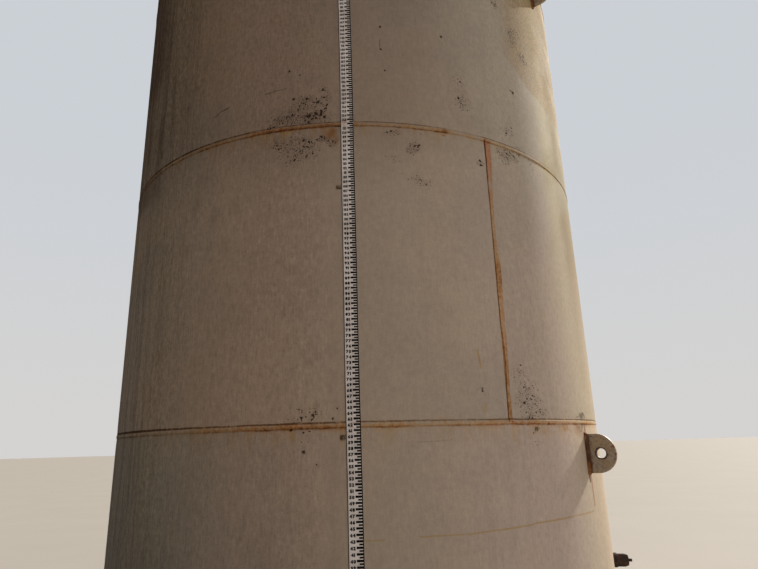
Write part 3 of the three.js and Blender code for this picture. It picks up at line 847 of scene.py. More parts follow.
def lug_paint():
    """The lugs' paint: flame-cut plate edges, and rust at the foot, at the rim and in the eye,
    whose bore is also darkened as painted shade.
    """
    s = Surface("lug_paint")
    grain = s.noise(70, 4, 0.65)
    spots = s.noise(34, 4, 0.7)
    wear = s.noise(120, 3, 0.7)
    reach = vector("LENGTH", combined(s.x, s.y, 0.0)) - SHELL_RADIUS
    s.colour = mix(smooth(s.noise(9, 5, 0.6), 0.40, 0.62), CREAM_GREY, CREAM_WARM)
    s.coat(smooth(grain, 0.44, 0.66) * 0.55, GRIME)
    foot = smooth(reach, 0.050, 0.002)
    rim = smooth(reach, 0.120, 0.152)
    eaten = smooth(spots + foot * 0.16 + rim * 0.08, 0.60, 0.70)
    s.coat(eaten * 0.85, mix(smooth(wear, 0.40, 0.62), RUST_DARK, RUST))
    burnt = smooth(reach + (spots - 0.5) * 0.03, 0.026, 0.014)
    s.coat(burnt * 0.8, mix(smooth(wear, 0.44, 0.60), RUST_DARK, RUST_LINE))
    s.coat(smooth(s.noise(1, 4, 0.6, stretch=(60, 60, 4)), 0.55, 0.72) * 0.30, OCHRE)
    specks = smooth(s.noise(90, 4, 0.7) + smooth(s.z, 1.34, 1.27) * 0.06, 0.66, 0.72)
    s.coat(specks * 0.8, PIT)
    low, high = LUG_LEVELS.values()
    rise = calc("MINIMUM", abs(s.z - low), abs(s.z - high))
    # A near-black ring round the eye and down its bore: rust, with painted shade inside the hole.
    from_eye = vector("LENGTH", combined(reach - LUG_EYE_REACH, rise, 0.0)) - LUG_EYE_RADIUS
    eye_rust_and_shade = smooth(from_eye + (spots - 0.5) * 0.030, 0.0110, 0.0050)
    s.coat(eye_rust_and_shade * 0.9, mix(smooth(wear, 0.42, 0.60), PIT, RUST_DARK))
    return s.finish(0.55 + eaten * 0.3, grain * 0.4 + wear * 0.2 - eaten * 0.5, 0.45, 0.002)


def rusted(name, painted=0.0, dark=RUST_DARK, light=RUST, flake=RUST_BRIGHT):
    """Bare scaling rust, with what is left of the paint."""
    s = Surface(name)
    flakes = s.noise(55, 5, 0.65)
    grit = s.noise(260, 3, 0.7)
    cloud = s.noise(14, 4, 0.6)
    s.colour = mix(smooth(cloud, 0.38, 0.64), dark, light)
    s.coat(smooth(flakes, 0.50, 0.68) * 0.6, flake)
    s.coat(smooth(grit, 0.55, 0.75) * 0.5, SOOT)
    kept = smooth(flakes + cloud * 0.5 + (painted - 1) * 0.5, 0.50, 0.60)
    s.coat(kept * min(1.0, painted * 4), CREAM_WARM)
    height = flakes * 0.7 + grit * 0.3 + kept * 0.3
    return s.finish(smooth(kept, 0, 1, 0.88, 0.6), height, 0.7, 0.003, 0.15)


def clip_paint():
    """The clips' old paint, scored aslant down to the rust."""
    s = Surface("clip_rust")
    wear = s.noise(40, 4, 0.6)
    hatch = noise(combined(s.along + s.z, (s.along - s.z) * 0.22, 0.0), 170, 2, 0.6)
    s.colour = mix(smooth(wear, 0.40, 0.64), rgb(140, 120, 92), rgb(108, 84, 56))
    s.coat(smooth(hatch, 0.44, 0.54) * 0.92, rgb(56, 38, 24))
    return s.finish(0.85, hatch * 0.7 + wear * 0.3, 0.6, 0.002)


def roof_paint():
    """Paint that lies open to the rain: dust in pools, and rust at the seams and the eave."""
    s = Surface("roof_paint")
    broad = s.noise(1.1, 5, 0.6)
    cloud = s.noise(6, 5, 0.6)
    grain = s.noise(48, 4, 0.65)
    breakup = s.noise(15, 5, 0.65)
    s.colour = mix(smooth(broad, 0.38, 0.62), CREAM, CREAM_GREY)
    s.coat(smooth(cloud, 0.46, 0.70) * 0.5, GRIME)
    s.coat(smooth(grain, 0.50, 0.74) * 0.35, GRIME)
    reach = vector("LENGTH", combined(s.x, s.y, 0.0))
    beside = abs(calc("WRAP", s.azimuth - SEAM_AZIMUTH, 45.0, -45.0) * math.radians(1) * reach)
    eave = smooth(reach, SHELL_RADIUS - 0.14, SHELL_RADIUS + 0.015)
    rusty = mix(smooth(s.noise(30, 4), 0.42, 0.62), RUST_DARK, RUST)
    s.coat(smooth(beside, 0.05, 0.008) * smooth(breakup, 0.42, 0.60) * 0.8, rusty)
    s.coat(eave * smooth(breakup, 0.50, 0.66) * 0.7, rusty)
    pits = smooth(s.noise(80, 4, 0.7) + smooth(broad, 0.5, 0.7) * 0.1, 0.70, 0.76)
    s.coat(pits * 0.8, RUST_DARK)
    height = grain * 0.5 + cloud * 0.3 - pits * 0.5
    return s.finish(smooth(cloud, 0.3, 0.7, 0.58, 0.78), height, 0.4, 0.003)


def gauge_face():
    """The strip's white face, worn by the weather, with rain streaks, scratches and rust by the
    seams.
    """
    s = Surface("gauge_face")
    cloud = s.noise(13, 5, 0.6)
    rain = s.noise(1.0, 5, 0.65, stretch=(90, 90, 5))
    scratch = s.noise(1.0, 4, 0.7, stretch=(240, 240, 22))
    s.colour = mix(smooth(cloud, 0.36, 0.66), rgb(229, 223, 221), rgb(207, 200, 196))
    s.coat(smooth(rain, 0.50, 0.72) * 0.45, rgb(158, 146, 134))
    s.coat(smooth(scratch, 0.60, 0.74) * 0.55, rgb(110, 100, 92))
    _, above, _ = seam_fields(s, (s.noise(30, 3) - 0.5) * 0.01)
    s.coat(smooth(abs(above), 0.06, 0.004) * smooth(s.noise(45, 4), 0.42, 0.62) * 0.5, RUST)
    return s.finish(smooth(cloud, 0.3, 0.7, 0.34, 0.5), cloud * 0.4 + scratch * 0.2, 0.25, 0.001)


def gauge_ink():
    """Worn black enamel of the marks and numbers."""
    s = Surface("gauge_ink")
    worn = s.noise(110, 4, 0.7)
    faded = s.noise(8, 3, 0.6)
    s.colour = mix(smooth(worn + faded * 0.4, 0.76, 0.92) * 0.40, BLACK, rgb(96, 88, 82))
    s.shader.inputs["Specular IOR Level"].default_value = 0.15
    return s.finish(smooth(worn, 0.3, 0.7, 0.60, 0.80), worn, 0.2, 0.0005)


def rubber():
    """The gasket's rubber, worn by the weather."""
    s = Surface("gasket_rubber")
    chalk = s.noise(42, 5, 0.65)
    s.colour = mix(smooth(chalk, 0.45, 0.70), rgb(34, 32, 31), rgb(84, 80, 76))
    return s.finish(smooth(chalk, 0.3, 0.7, 0.72, 0.92), chalk, 0.4, 0.001)


# Pieces

PLATES = [(course, plate) for course in range(1, COURSE_COUNT + 1) for plate in range(2)]


def place_piece(obj, material, slot, *nodes):
    """Paints a piece, and lets it ride on the tank in place of the nodes it stands for."""
    obj.data.materials.append(material)
    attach(obj, "root")
    if nodes:
        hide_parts(*nodes)


def dress(node, mesh, material, slot, crease=40):
    """Puts a finer mesh in the place of a node."""
    place_piece(finished(f"fine_{node}", mesh, crease), material, slot, node)


def plate_sag(azimuths, share, phase):
    """How far a rolled plate lies inside the true circle: drawn in at its welds, and wavy."""
    ends = np.minimum(azimuths - azimuths.min(), azimuths.max() - azimuths) * SHELL_DEGREE
    from_seam = np.minimum(share, 1 - share) * COURSE_HEIGHT
    sag = 1.1 * MM * np.exp(-(ends / 0.07) ** 2) + 1.2 * MM * np.exp(-(from_seam / 0.05) ** 2)
    waves = np.sin(np.radians(azimuths * 5 + phase)) * np.sin(share * math.pi * 2 + phase)
    return sag + 0.25 * MM * (1 + waves)


def make_courses():
    margin = math.degrees(ROOT_GAP / 2 / SHELL_RADIUS)
    share = spread(0, 1, 30)[None, :]
    for course, plate in PLATES:
        start = seam_azimuth(course, plate)
        azimuths = spread(start + margin, start + 180 - margin, 150)[:, None]
        outer = SHELL_RADIUS - plate_sag(azimuths, share, 50.0 * course + 130 * plate)
        radii = np.concatenate([outer, outer[:, ::-1] - SHELL_WALL], 1)
        levels = course_base(course) + COURSE_HEIGHT * np.concatenate([share, share[:, ::-1]], 1)
        paint = tank_paint(f"paint_{course}_{plate + 1}", course=course, plate=plate)
        mesh = swept(on_circle(radii, azimuths, levels))
        dress(f"shell_course_{course}_plate_{plate + 1}", mesh, paint, "shell_paint")


def bead_profile(steps, half_width=WELD_HALF_WIDTH, crown=WELD_CROWN, root=WELD_ROOT):
    """Sections of a butt weld, across and outward, that change a little along the weld."""
    across = np.array([-1.0, -0.82, -0.5, 0.0, 0.5, 0.82, 1.0])
    rise = np.array([-0.35, 0.42, 0.88, 1.0, 0.88, 0.42, -0.35])
    width = half_width * (1 + ripple(steps, 0.06))[:, None]
    lift = crown * (1 + ripple(steps, 0.10))[:, None]
    shift = ripple(steps, 0.35 * MM)[:, None]
    back = np.full((steps, 1), 0.8 * half_width)
    across = np.concatenate([width * across + shift, back, -back], 1)
    return across, np.concatenate([lift * rise, np.full((steps, 2), -root)], 1)


def make_butt_welds(bead):
    steps = 900
    for seam in range(1, COURSE_COUNT):
        across, out = bead_profile(steps)
        level = course_base(seam + 1) - ROOT_GAP / 2
        points = on_circle(SHELL_RADIUS + out, around(steps), level + across)
        dress(f"girth_weld_{seam}", swept(points, loop=True), bead, "weld_rust", 60)

    steps = 170
    end = WELD_HALF_WIDTH * 0.6
    rise = np.linspace(end, COURSE_HEIGHT - end, steps)[:, None]
    for course, plate in PLATES:
        across, out = bead_profile(steps)
        points = stacked(across, -SHELL_RADIUS - out, rise)
        points = at_station(points, seam_azimuth(course, plate), course_base(course))
        dress(f"vertical_weld_{course}_{plate + 1}", swept(points), bead, "weld_rust", 60)


def rim_weld(node, section, base, side, sunk, bead):
    """The fillet weld round an end of the shell: it stands up if side is 1 and hangs if it is -1.

    The section is in parts of the leg, and an out of -1 stands for its back, inside the shell.
    """
    steps = 720
    out, up = np.array(section).T
    leg = FILLET_LEG * (1 + ripple(steps, 0.07))[:, None]
    radii = SHELL_RADIUS + np.where(out < 0, -2 * MM, out * leg)
    levels = base(radii) + side * (up * leg - np.where(up == 0, sunk, 0.0))
    points = on_circle(radii, around(steps), levels)
    dress(node, swept(points, loop=True), bead, "weld_rust", 70)


def make_bottom(paint, bead):
    middle = 0.4
    rim = rounded(oblong(middle, SHELL_RADIUS + CHIME, 0, BOTTOM_THICKNESS), 1.2 * MM)
    disc = oblong(0, middle + 5 * MM, 0, BOTTOM_THICKNESS)
    dress("bottom_plate", joined([turned(rim, 360), turned(disc)]), paint, "shell_paint")
    section = ((-1, 0), (0, 1), (0.38, 0.66), (0.62, 0.40), (1, 0), (0.9, 0))
    rim_weld("bottom_weld", section, lambda radii: BOTTOM_THICKNESS, 1, 0.3 * MM, bead)


def cut_by(obj, cutter):
    """Takes one object's volume out of another's."""
    step = obj.modifiers.new("cut", "BOOLEAN")
    step.operation = "DIFFERENCE"
    step.solver = "EXACT"
    step.object = cutter
    result = evaluated(obj)
    obj.modifiers.clear()
    obj.data = result
    bpy.data.objects.remove(cutter)


def make_roof(paint, bead):
    eave = SHELL_RADIUS + ROOF_LIP
    reach = np.linspace(VENT_NECK_RADIUS - 2 * MM, eave, 24)
    radii = np.concatenate([reach, [eave - 0.4 * MM], reach[::-1]])
    levels = roof_underside(radii) + ROOF_THICKNESS * np.repeat((1, 0.5, 0), (24, 1, 24))
    steps = 150
    run = np.linspace(VENT_NECK_RADIUS + 4 * MM, eave - 2 * MM, steps)[:, None]
    seams = []
    for plate in range(ROOF_PLATES):
        node = f"roof_plate_{plate + 1}"
        start = SEAM_AZIMUTH + 90 * plate
        azimuths = np.linspace(start + 0.02, start + 89.98, 72)[:, None]
        obj = finished(f"fine_{node}", swept(on_circle(radii, azimuths, levels)))
        if start < MANWAY_AZIMUTH < start + 90:
            drill = oblong(0, MANWAY_RADIUS - MANWAY_WALL / 2, -0.3, 0.4)
            centre = on_circle(MANWAY_REACH, MANWAY_AZIMUTH, SHELL_TOP)
            cut_by(obj, finished("drill", turned(drill, 96, centre)))
        place_piece(obj, paint, "roof_paint", node)

        across, out = bead_profile(steps, 8 * MM, 1.4 * MM, 2 * MM)
        top = roof_underside(run) + ROOF_THICKNESS + out
        seams.append(swept(at_station(stacked(across, -run, top), start)))
    place_piece(finished("roof_seam_beads", joined(seams), 60), paint, "weld_rust")
    section = ((-1, 0), (0, 1), (0.42, 0.60), (0.75, 0.30), (1, 0), (0, 0))
    rim_weld("roof_weld", section, roof_underside, -1, 0.2 * MM, bead)


def collar(radius, leg, steps, centre, base):
    """A fillet weld round an upright pipe on the roof, whose underside is base of the distance."""
    def on_roof(angle, out, up):
        spot = centre + (radius + out) * np.array([math.cos(angle), math.sin(angle)])
        return [*spot, base(np.hypot(*spot)) + ROOF_THICKNESS + up]

    leg = leg * (1 + ripple(steps, 0.08))
    section = ((-0.3, -0.4), (1.0, -0.1), (0.62, 0.42), (0.36, 0.66), (0.0, 1.0), (-0.3, 0.9))
    return swept(bead_rows(np.radians(around(steps)[:, 0]), leg, section, on_roof), loop=True)


def make_vent(paint, bead):
    seat = roof_underside(VENT_NECK_RADIUS)
    rim = seat + VENT_NECK_HEIGHT
    neck = oblong(VENT_NECK_RADIUS - VENT_NECK_WALL, VENT_NECK_RADIUS, seat - NECK_DROP, rim)
    dress("vent_neck", turned(rounded(neck, 1.5 * MM)), paint, "roof_paint")
    weld = collar(VENT_NECK_RADIUS, 7 * MM, 160, (0, 0), lambda distance: seat)
    place_piece(finished("vent_neck_weld", weld, 70), bead, "weld_rust")

    crown = rim + VENT_HOOD_OVER_NECK
    shoulder = crown - VENT_HOOD_FALL
    skirt = shoulder - VENT_HOOD_SKIRT
    outer = VENT_HOOD_RADIUS
    inner = outer - VENT_HOOD_SHEET
    hood = [
        (0, crown + VENT_HOOD_SHEET), (50 * MM, crown + VENT_HOOD_SHEET - 7.3 * MM),
        (136 * MM, shoulder + VENT_HOOD_SHEET + 1.2 * MM),
        (146.2 * MM, shoulder + VENT_HOOD_SHEET - 2 * MM),
        (outer - 0.8 * MM, shoulder - 7 * MM), (outer - 0.8 * MM, skirt + 5 * MM),
        (outer, skirt + 3 * MM), (outer, skirt + 0.6 * MM), (outer - 1.2 * MM, skirt),
        (inner - 0.6 * MM, skirt + 0.4 * MM), (inner, skirt + 6 * MM), (inner, shoulder - 6 * MM),
        (inner - 8 * MM, shoulder), (0, crown),
    ]
    leg_reach = VENT_NECK_RADIUS + CLEARANCE + VENT_LEG_THICKNESS / 2
    leg_top = crown - VENT_HOOD_FALL * leg_reach / inner + VENT_HOOD_SHEET / 2
    leg_foot = leg_top - VENT_LEG_HEIGHT + MM
    x = np.array([-15, -14, 14, 15, 15, 14, -14, -15]) * MM
    y = -VENT_NECK_RADIUS - CLEARANCE - np.array([1, 0, 0, 1, 5, 6, 6, 5]) * MM
    leg = [stacked(x, y, z) for z in np.linspace(leg_foot, leg_top, 5)]
    turns = [SEAM_AZIMUTH + 360 / VENT_LEG_COUNT * count for count in range(VENT_LEG_COUNT)]
    legs = [swept(at_station(leg, turn)) for turn in turns]
    dress("vent_hood", joined([turned(hood), *legs]), paint, "roof_paint")


def make_manway(paint, bead, bolt_rust, gasket):
    centre = on_circle(MANWAY_REACH, MANWAY_AZIMUTH, 0.0)
    low = roof_underside(MANWAY_REACH + MANWAY_RADIUS) - NECK_DROP
    rim = roof_underside(MANWAY_REACH) + MANWAY_HEIGHT
    under = rim - MANWAY_PLATE
    seat = rim + MANWAY_GASKET
    top = seat + MANWAY_PLATE
    bore = MANWAY_RADIUS - MANWAY_WALL
    edge = MANWAY_FLANGE_RADIUS - 0.1 * MM

    def ring(node, profile, material=paint, slot="roof_paint"):
        dress(node, turned(profile, 144, centre), material, slot)

    ring("manway_neck", rounded(oblong(bore, MANWAY_RADIUS, low, rim), 1.2 * MM))
    weld = collar(MANWAY_RADIUS, 8 * MM, 300, centre[:2], roof_underside)
    place_piece(finished("manway_neck_weld", weld, 70), bead, "weld_rust")
    ring("manway_flange", rounded(oblong(MANWAY_RADIUS + CLEARANCE, edge, under, rim), MM))
    packing = rounded(oblong(bore, edge - 2 * MM, rim, seat), 0.8 * MM)
    ring("manway_gasket", packing, gasket, "gasket")
    ring("manway_cover", [
        (0, seat), (edge - MM, seat), (edge, seat + MM),
        (edge, top - 1.5 * MM), (edge - 1.5 * MM, top), (0, top),
    ])

    shank = [(0, 0), (7 * MM, 0), (8 * MM, MM), (8 * MM, 46 * MM), (0, 46 * MM)]
    bolts = []
    for count in range(BOLT_COUNT):
        spot = centre + on_circle(BOLT_CIRCLE, 360 / BOLT_COUNT * (count + 0.5), 0.0)
        turn = rng.uniform(0, 60)
        for (points, faces), level in (
            (hexagon(BOLT_FLATS, 10 * MM, turn), top + WASHER),
            (turned(oblong(0, 15 * MM, 0, WASHER), 24), top),
            (hexagon(BOLT_FLATS, NUT_HEIGHT, turn + 17), under - NUT_HEIGHT),
            (turned(shank, 20), under - 21 * MM),
        ):
            bolts.append((points + spot + (0, 0, level), faces))
    place_piece(finished("manway_bolts", joined(bolts)), bolt_rust, "bare_rust")

    path = [(-HANDLE_HALF - HANDLE_BEND, -MM)]
    for turn in np.radians(np.linspace(180, 90, 8)):
        across, up = HANDLE_BEND * math.cos(turn), HANDLE_BEND * math.sin(turn)
        path.append((across - HANDLE_HALF, up + HANDLE_RISE))
    path = np.array(path + [(-x, z) for x, z in path[::-1]])
    padded = np.pad(path, ((1, 1), (0, 0)), "edge")
    along = padded[2:] - padded[:-2]
    along /= np.linalg.norm(along, axis=1, keepdims=True)
    angles = np.radians(np.arange(0, 360, 24))
    side = HANDLE_RADIUS * np.cos(angles)
    away = HANDLE_RADIUS * np.sin(angles)
    rows = [
        stacked(x - rise * away, side, z + run * away)
        for (x, z), (run, rise) in zip(path, along)
    ]
    points, faces = swept(at_station(rows, MANWAY_AZIMUTH))
    handle = finished("manway_handle", (points + centre + (0, 0, top), faces))
    place_piece(handle, bolt_rust, "bare_rust")


def lug_edge(angle):
    """How far a lug's outline lies from the middle of its eye."""
    run, rise = math.cos(angle), math.sin(angle)
    offset = LUG_EYE_REACH - (LUG_REACH - LUG_HALF_HEIGHT)
    back = -LUG_EYE_REACH / run if run < 0 else math.inf
    side = LUG_HALF_HEIGHT / max(abs(rise), 1e-9)
    if side * run > -offset:
        side = -offset * run + math.sqrt((offset * run) ** 2 - offset ** 2 + LUG_HALF_HEIGHT ** 2)
    return min(back, side)


def rectangle_path(half_width, half_height, radius, step):
    """Points and outward directions round an upright rectangle with rounded corners."""
    arcs = []
    for start, x, z in ((0, 1, 1), (90, -1, 1), (180, -1, -1), (270, 1, -1)):
        angles = np.radians(start + np.linspace(0, 90, 6))
        away = np.column_stack([np.cos(angles), np.sin(angles)])
        middle = (x * (half_width - radius), z * (half_height - radius))
        arcs.append(np.column_stack([middle + away * radius, away]))
    points = []
    for arc, ahead in zip(arcs, arcs[1:] + arcs[:1]):
        run = ahead[0] - arc[-1]
        count = int(np.linalg.norm(run[:2]) / step)
        points += [*arc, *(arc[-1] + run * share for share in np.arange(1, count) / count)]
    return points


def make_lugs(paint, weld):
    half = LUG_THICKNESS / 2
    bevel = 1.6 * MM
    corner = math.atan2(LUG_HALF_HEIGHT, -LUG_EYE_REACH)
    angles = np.append(np.linspace(-math.pi, math.pi, 120, endpoint=False), (corner, -corner))
    eye = ((LUG_EYE_RADIUS, half - bevel), (LUG_EYE_RADIUS + bevel, half))
    rows = []
    for angle in np.sort(angles):
        edge = lug_edge(angle)
        rim = ((edge - bevel, half), (edge - bevel * 0.3, half - bevel * 0.3), (edge, half - bevel))
        section = [*rim, *((distance, -side) for distance, side in (*rim[::-1], *eye[::-1])), *eye]
        rows.append([(
            side, -FACE_RADIUS - CLEARANCE - max(LUG_EYE_REACH + distance * math.cos(angle), 0),
            distance * math.sin(angle),
        ) for distance, side in section])

    def on_face(spot, out, up):
        x, z, right, high = spot
        return x + right * out, -FACE_RADIUS - up, z + high * out

    spots = rectangle_path(half, LUG_HALF_HEIGHT, 4 * MM, 3.2 * MM)
    steps = len(spots)
    bead = ((-0.4, -0.3), (1, -0.2), (0.94, 0.16), (0.66, 0.52), (0.3, 0.82), (0, 1), (-0.4, 0.8))
    for name, level in LUG_LEVELS.items():
        dress(name, swept(at_station(rows, LUG_AZIMUTH, level), loop=True), paint, "lug_paint", 35)
        leg = LUG_WELD_LEG * (1 + 0.07 * np.sin(np.arange(steps) * 2.2) + ripple(steps, 0.06))
        points = at_station(bead_rows(spots, leg, bead, on_face), LUG_AZIMUTH, level)
        dress(f"{name}_weld", swept(points, loop=True), weld, "weld_rust", 70)


def on_gauge(across, level, out):
    """A point of the strip: across from its middle line, and outward from its back."""
    wave = 0.9 * MM * np.sin(level * 2.3 + 0.6) + 0.5 * MM * np.sin(level * 6.1)
    x = gauge_middle(level) + wave + across
    y = -FACE_RADIUS - CLEARANCE - out + np.square(x) / (2 * SHELL_RADIUS) * 0.6
    return at_station(stacked(x, y, level + across * GAUGE_LEAN), GAUGE_AZIMUTH)


def plaque(left, right, low, high, relief):
    """A thin mark, upright on the strip."""
    corners = [(left, low), (right, low), (right, high), (left, high)]
    outs = (GAUGE_THICKNESS - 0.3 * MM, GAUGE_THICKNESS + relief)
    return swept([[on_gauge(x, z, out) for x, z in corners] for out in outs])


def digit_shapes():
    """The ten digits, with the left side at zero: points in em, faces and width."""
    shapes = []
    for digit in "012345678":
        text = bpy.data.curves.new("digit", "FONT")
        text.body = digit
        text.resolution_u = 2
        text.offset = 0.075
        obj = linked("digit", text)
        mesh = evaluated(obj)
        points = np.array([v.co[:2] for v in mesh.vertices])
        points[:, 0] -= points[:, 0].min()
        shapes.append((points, [list(p.vertices) for p in mesh.polygons], points[:, 0].max()))
        bpy.data.objects.remove(obj)
        bpy.data.meshes.remove(mesh)
        bpy.data.curves.remove(text)
    points, corners, width = shapes[6]
    return [*shapes, ((width, NINE_TURN) - points, corners, width)]


def gauge_numbers(low, high, shapes):
    """Every inch's number, left of its mark, as flat faces just over the strip."""
    tall = DIGIT_HEIGHT / DIGIT_SHARE
    meshes = []
    for reading in range(math.ceil(low + 0.3), math.ceil(high - 0.2)):
        digits = [shapes[int(digit)] for digit in str(reading)]
        broad = tall * (1.1 if len(digits) < 3 else 0.84)
        width = sum(digit[2] for digit in digits) * broad + DIGIT_GAP * (len(digits) - 1)
        pen = DIGITS_MIDDLE - width / 2
        base = gauge_level(reading) - DIGITS_DROP
        for points, corners, advance in digits:
            across, up = points.T
            spots = on_gauge(pen + across * broad, base + up * tall, GAUGE_THICKNESS + INK_RELIEF)
            meshes.append((spots, corners))
            pen += advance * broad + DIGIT_GAP
    return joined(meshes)


def make_gauge(face, ink, rust):
    half = GAUGE_WIDTH / 2 - 0.1 * MM
    soft = half - 0.5 * MM
    across = np.array([-half, -half, -soft, -10 * MM, 10 * MM, soft, half, half])
    out = np.array([0.2, 2.5, 3.0, 3.0, 3.0, 3.0, 2.5, 0.2]) * MM
    shapes = digit_shapes()
    for node, (low, high) in GAUGE_READINGS.items():
        foot, top = gauge_level(low), gauge_level(high)
        levels = np.linspace(foot, top, 160)[:, None]
        dress(node, swept(on_gauge(across, levels, out)), face, "gauge_face", 30)

        marks = []
        for half_inch in range(math.ceil(2 * low + 0.4), math.ceil(2 * high - 0.2)):
            left, thick = GAUGE_MARKS[half_inch % 2]
            level = gauge_level(half_inch / 2)
            ends = (level - thick / 2, level + thick / 2)
            marks.append(plaque(left, GAUGE_MARK_END, *ends, INK_RELIEF))
        cuts = np.linspace(foot + MM, top - MM, 41)
        relief = INK_RELIEF - 0.02 * MM
        for start, end in zip(cuts, cuts[1:]):
            marks += [plaque(*border, start, end, relief) for border in GAUGE_BORDERS]
        place_piece(finished(node.replace("strip", "marks"), joined(marks)), ink, "gauge_face")
        numbers = gauge_numbers(low, high, shapes)
        place_piece(plain(node.replace("strip", "numbers"), numbers), ink, "gauge_face")

    angles = np.radians(np.arange(0, 360, 15))
    for count, reading in enumerate(CLIP_READINGS):
        level = gauge_level(reading)
        middle = gauge_middle(level) - GAUGE_WIDTH / 2 - 15 * MM
        azimuth = GAUGE_AZIMUTH + math.degrees(middle / SHELL_RADIUS)
        edge = rng.uniform(-0.8, 0.8, 24) * MM
        x = np.clip(17 * np.cos(angles), -11.5, 11.5) * MM + edge
        z = np.clip(16 * np.sin(angles), -10.5, 10.5) * MM - edge
        rows = [
            stacked(x * scale, -SHELL_RADIUS - out * MM, z * scale)
            for scale, out in ((1.0, -0.5), (1.0, 2.6), (0.93, 3.6), (0.6, 4.4), (0.25, 4.0))
        ]
        dress(f"gauge_clip_{count + 1}", swept(at_station(rows, azimuth, level)), rust, "bare_rust")


def make_outlet(rust, weld):
    def seated(mesh, start=0.0):
        """Lays a mesh down, so that what pointed up points straight out of the shell."""
        x, y, z = np.moveaxis(mesh[0], -1, 0)
        points = stacked(x, -(z + start) - SHELL_RADIUS, y)
        return at_station(points, OUTLET_AZIMUTH, OUTLET_LEVEL), mesh[1]

    tube = [
        (OUTLET_BORE, -OUTLET_DROP), (OUTLET_RADIUS, -OUTLET_DROP), (OUTLET_RADIUS, 4 * MM),
        (OUTLET_RADIUS, OUTLET_REACH - 3 * MM), (OUTLET_RADIUS - 3 * MM, OUTLET_REACH),
        (OUTLET_BORE + MM, OUTLET_REACH), (OUTLET_BORE, OUTLET_REACH - MM),
    ]
    dress("outlet_coupling", seated(turned(tube, 72)), rust, "bare_rust")

    thread = [(0, -20 * MM), (30.4 * MM, -20 * MM)]
    for foot in np.arange(8) * THREAD_PITCH - 18 * MM:
        thread += [(30.6 * MM, foot), (29.3 * MM, foot + THREAD_PITCH / 2)]
    thread += [(29.6 * MM, MM), (0, MM)]
    flats = 2 * PLUG_HEX_RADIUS * math.cos(math.radians(30)) - 0.3 * MM
    square = rounded(oblong(-8 * MM, 8 * MM, -8 * MM, 8 * MM), 2.2 * MM)
    nub = [stacked(*(square * share).T, z * MM) for share, z in ((1, 60), (1, 86), (0.85, 88.5))]
    dress("outlet_plug", joined([
        seated(turned(thread, 60), OUTLET_REACH),
        seated(hexagon(flats, PLUG_HEX_LENGTH, SEAM_AZIMUTH - 90, 0.11), OUTLET_REACH + CLEARANCE),
        seated(swept(nub), OUTLET_REACH),
    ]), rust, "bare_rust")

    def on_shell(angle, out, up):
        x, z = (OUTLET_RADIUS + out) * math.cos(angle), (OUTLET_RADIUS + out) * math.sin(angle)
        return x, -math.sqrt(SHELL_RADIUS ** 2 - x ** 2) - up, z

    steps = 120
    leg = 8 * MM * (1 + ripple(steps, 0.07) + 0.05 * np.sin(np.arange(steps) * 1.9))
    section = ((-0.3, -0.3), (1.0, -0.35), (0.66, 0.42), (0.36, 0.7), (0.0, 1.0), (-0.3, 0.9))
    rows = bead_rows(np.radians(around(steps)[:, 0]), leg, section, on_shell)
    bead = swept(at_station(rows, OUTLET_AZIMUTH, OUTLET_LEVEL), loop=True)
    place_piece(finished("outlet_weld", bead, 70), weld, "weld_rust")


# The view, the light and the floor

def make_camera():
    """Stands where the photograph was taken: close by, at eye height, tilted up."""
    turn, tilt, roll = 0.03966, 0.2765, -0.02931
    place = (0, -4.1944, 1.447)
    camera = linked("camera", bpy.data.cameras.new("camera"))
    camera.data.sensor_width = 36
    camera.data.lens = 26.68
    camera.data.clip_end = 500
    pose = Matrix.Translation(place) @ Matrix.Rotation(-turn, 4, "Z")
    pose = pose @ Matrix.Rotation(math.pi / 2 + tilt, 4, "X") @ Matrix.Rotation(roll, 4, "Z")
    camera.matrix_world = pose
    bpy.context.scene.camera = camera


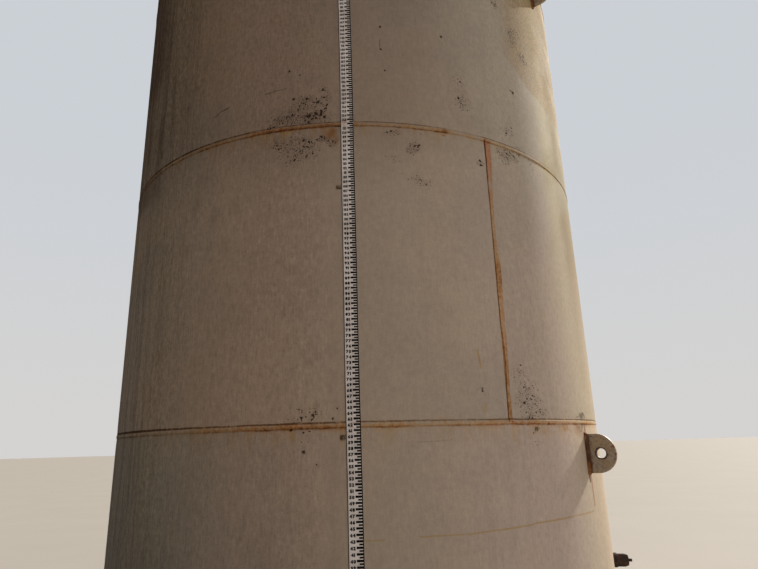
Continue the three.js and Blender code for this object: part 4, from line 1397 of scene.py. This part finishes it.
def make_light():
    """A wide soft sky, brighter on the right, and a soft sun behind the tank's right side."""
    world = bpy.data.worlds.new("studio")
    bpy.context.scene.world = world
    world.use_nodes = True
    tree = world.node_tree
    tree.nodes.clear()
    side, depth, height = parts_of(Field(tree.nodes.new("ShaderNodeTexCoord").outputs["Generated"]))
    strength = calc("MAXIMUM", 0.44 + side * 0.48 + depth * 0.04, 0.06)
    tint = mix(smooth(height, -0.2, 0.5), (1.0, 0.80, 0.66), (0.96, 0.90, 0.88))
    across = mix(smooth(side, -0.8, 0.8), (1.0, 0.96, 0.92), (0.98, 1.01, 1.06))
    tint = vector("MULTIPLY", tint, across)
    glow = add_node("Background", {"Color": tint, "Strength": strength})
    sky = mix(smooth(height, -0.02, 0.5), (0.66, 0.65, 0.64), (0.60, 0.63, 0.67))
    backdrop = add_node("Background", {"Color": sky})
    seen = Field(tree.nodes.new("ShaderNodeLightPath").outputs["Is Camera Ray"])
    output = tree.nodes.new("ShaderNodeOutputWorld")
    feed(output.inputs[0], add_node("MixShader", (seen, glow, backdrop)))

    sun = bpy.data.lights.new("sun", "SUN")
    sun.energy = 5.1
    sun.angle = math.radians(4)
    sun.color = (1.0, 0.95, 0.85)
    azimuth, height = 127, math.radians(32)
    towards = on_circle(math.cos(height), azimuth, math.sin(height))
    lamp = linked("sun", sun)
    lamp.rotation_mode = "QUATERNION"
    lamp.rotation_quaternion = Vector(towards.tolist()).to_track_quat("Z", "Y")
    bpy.context.scene.view_settings.view_transform = "Standard"


def make_floor():
    half = 220
    corners = [(-half, -half, 0), (half, -half, 0), (half, half, 0), (-half, half, 0)]
    floor = plain("floor", (corners, [[0, 1, 2, 3]]))
    s = Surface("floor")
    s.colour = mix(s.noise(0.7, 4), (0.40, 0.37, 0.33), (0.44, 0.41, 0.37))
    floor.data.materials.append(s.finish(0.9))


roof = roof_paint()
fillet = tank_paint("fillet_bead", bead=True, rust=0.7)
weld_rust = rusted("weld_rust", painted=0.25)
old_rust = rusted("old_rust", dark=rgb(30, 24, 22), light=rgb(58, 42, 34), flake=rgb(96, 62, 42))
bare_rust = rusted("bare_rust", dark=rgb(52, 36, 30), light=rgb(96, 60, 40))

make_courses()
make_butt_welds(tank_paint("seam_bead", bead=True))
make_bottom(tank_paint("shell_paint"), fillet)
make_roof(roof, fillet)
make_vent(roof, fillet)
make_manway(roof, fillet, bare_rust, rubber())
make_lugs(lug_paint(), weld_rust)
make_gauge(gauge_face(), gauge_ink(), clip_paint())
make_outlet(old_rust, weld_rust)
make_floor()
make_light()
make_camera()
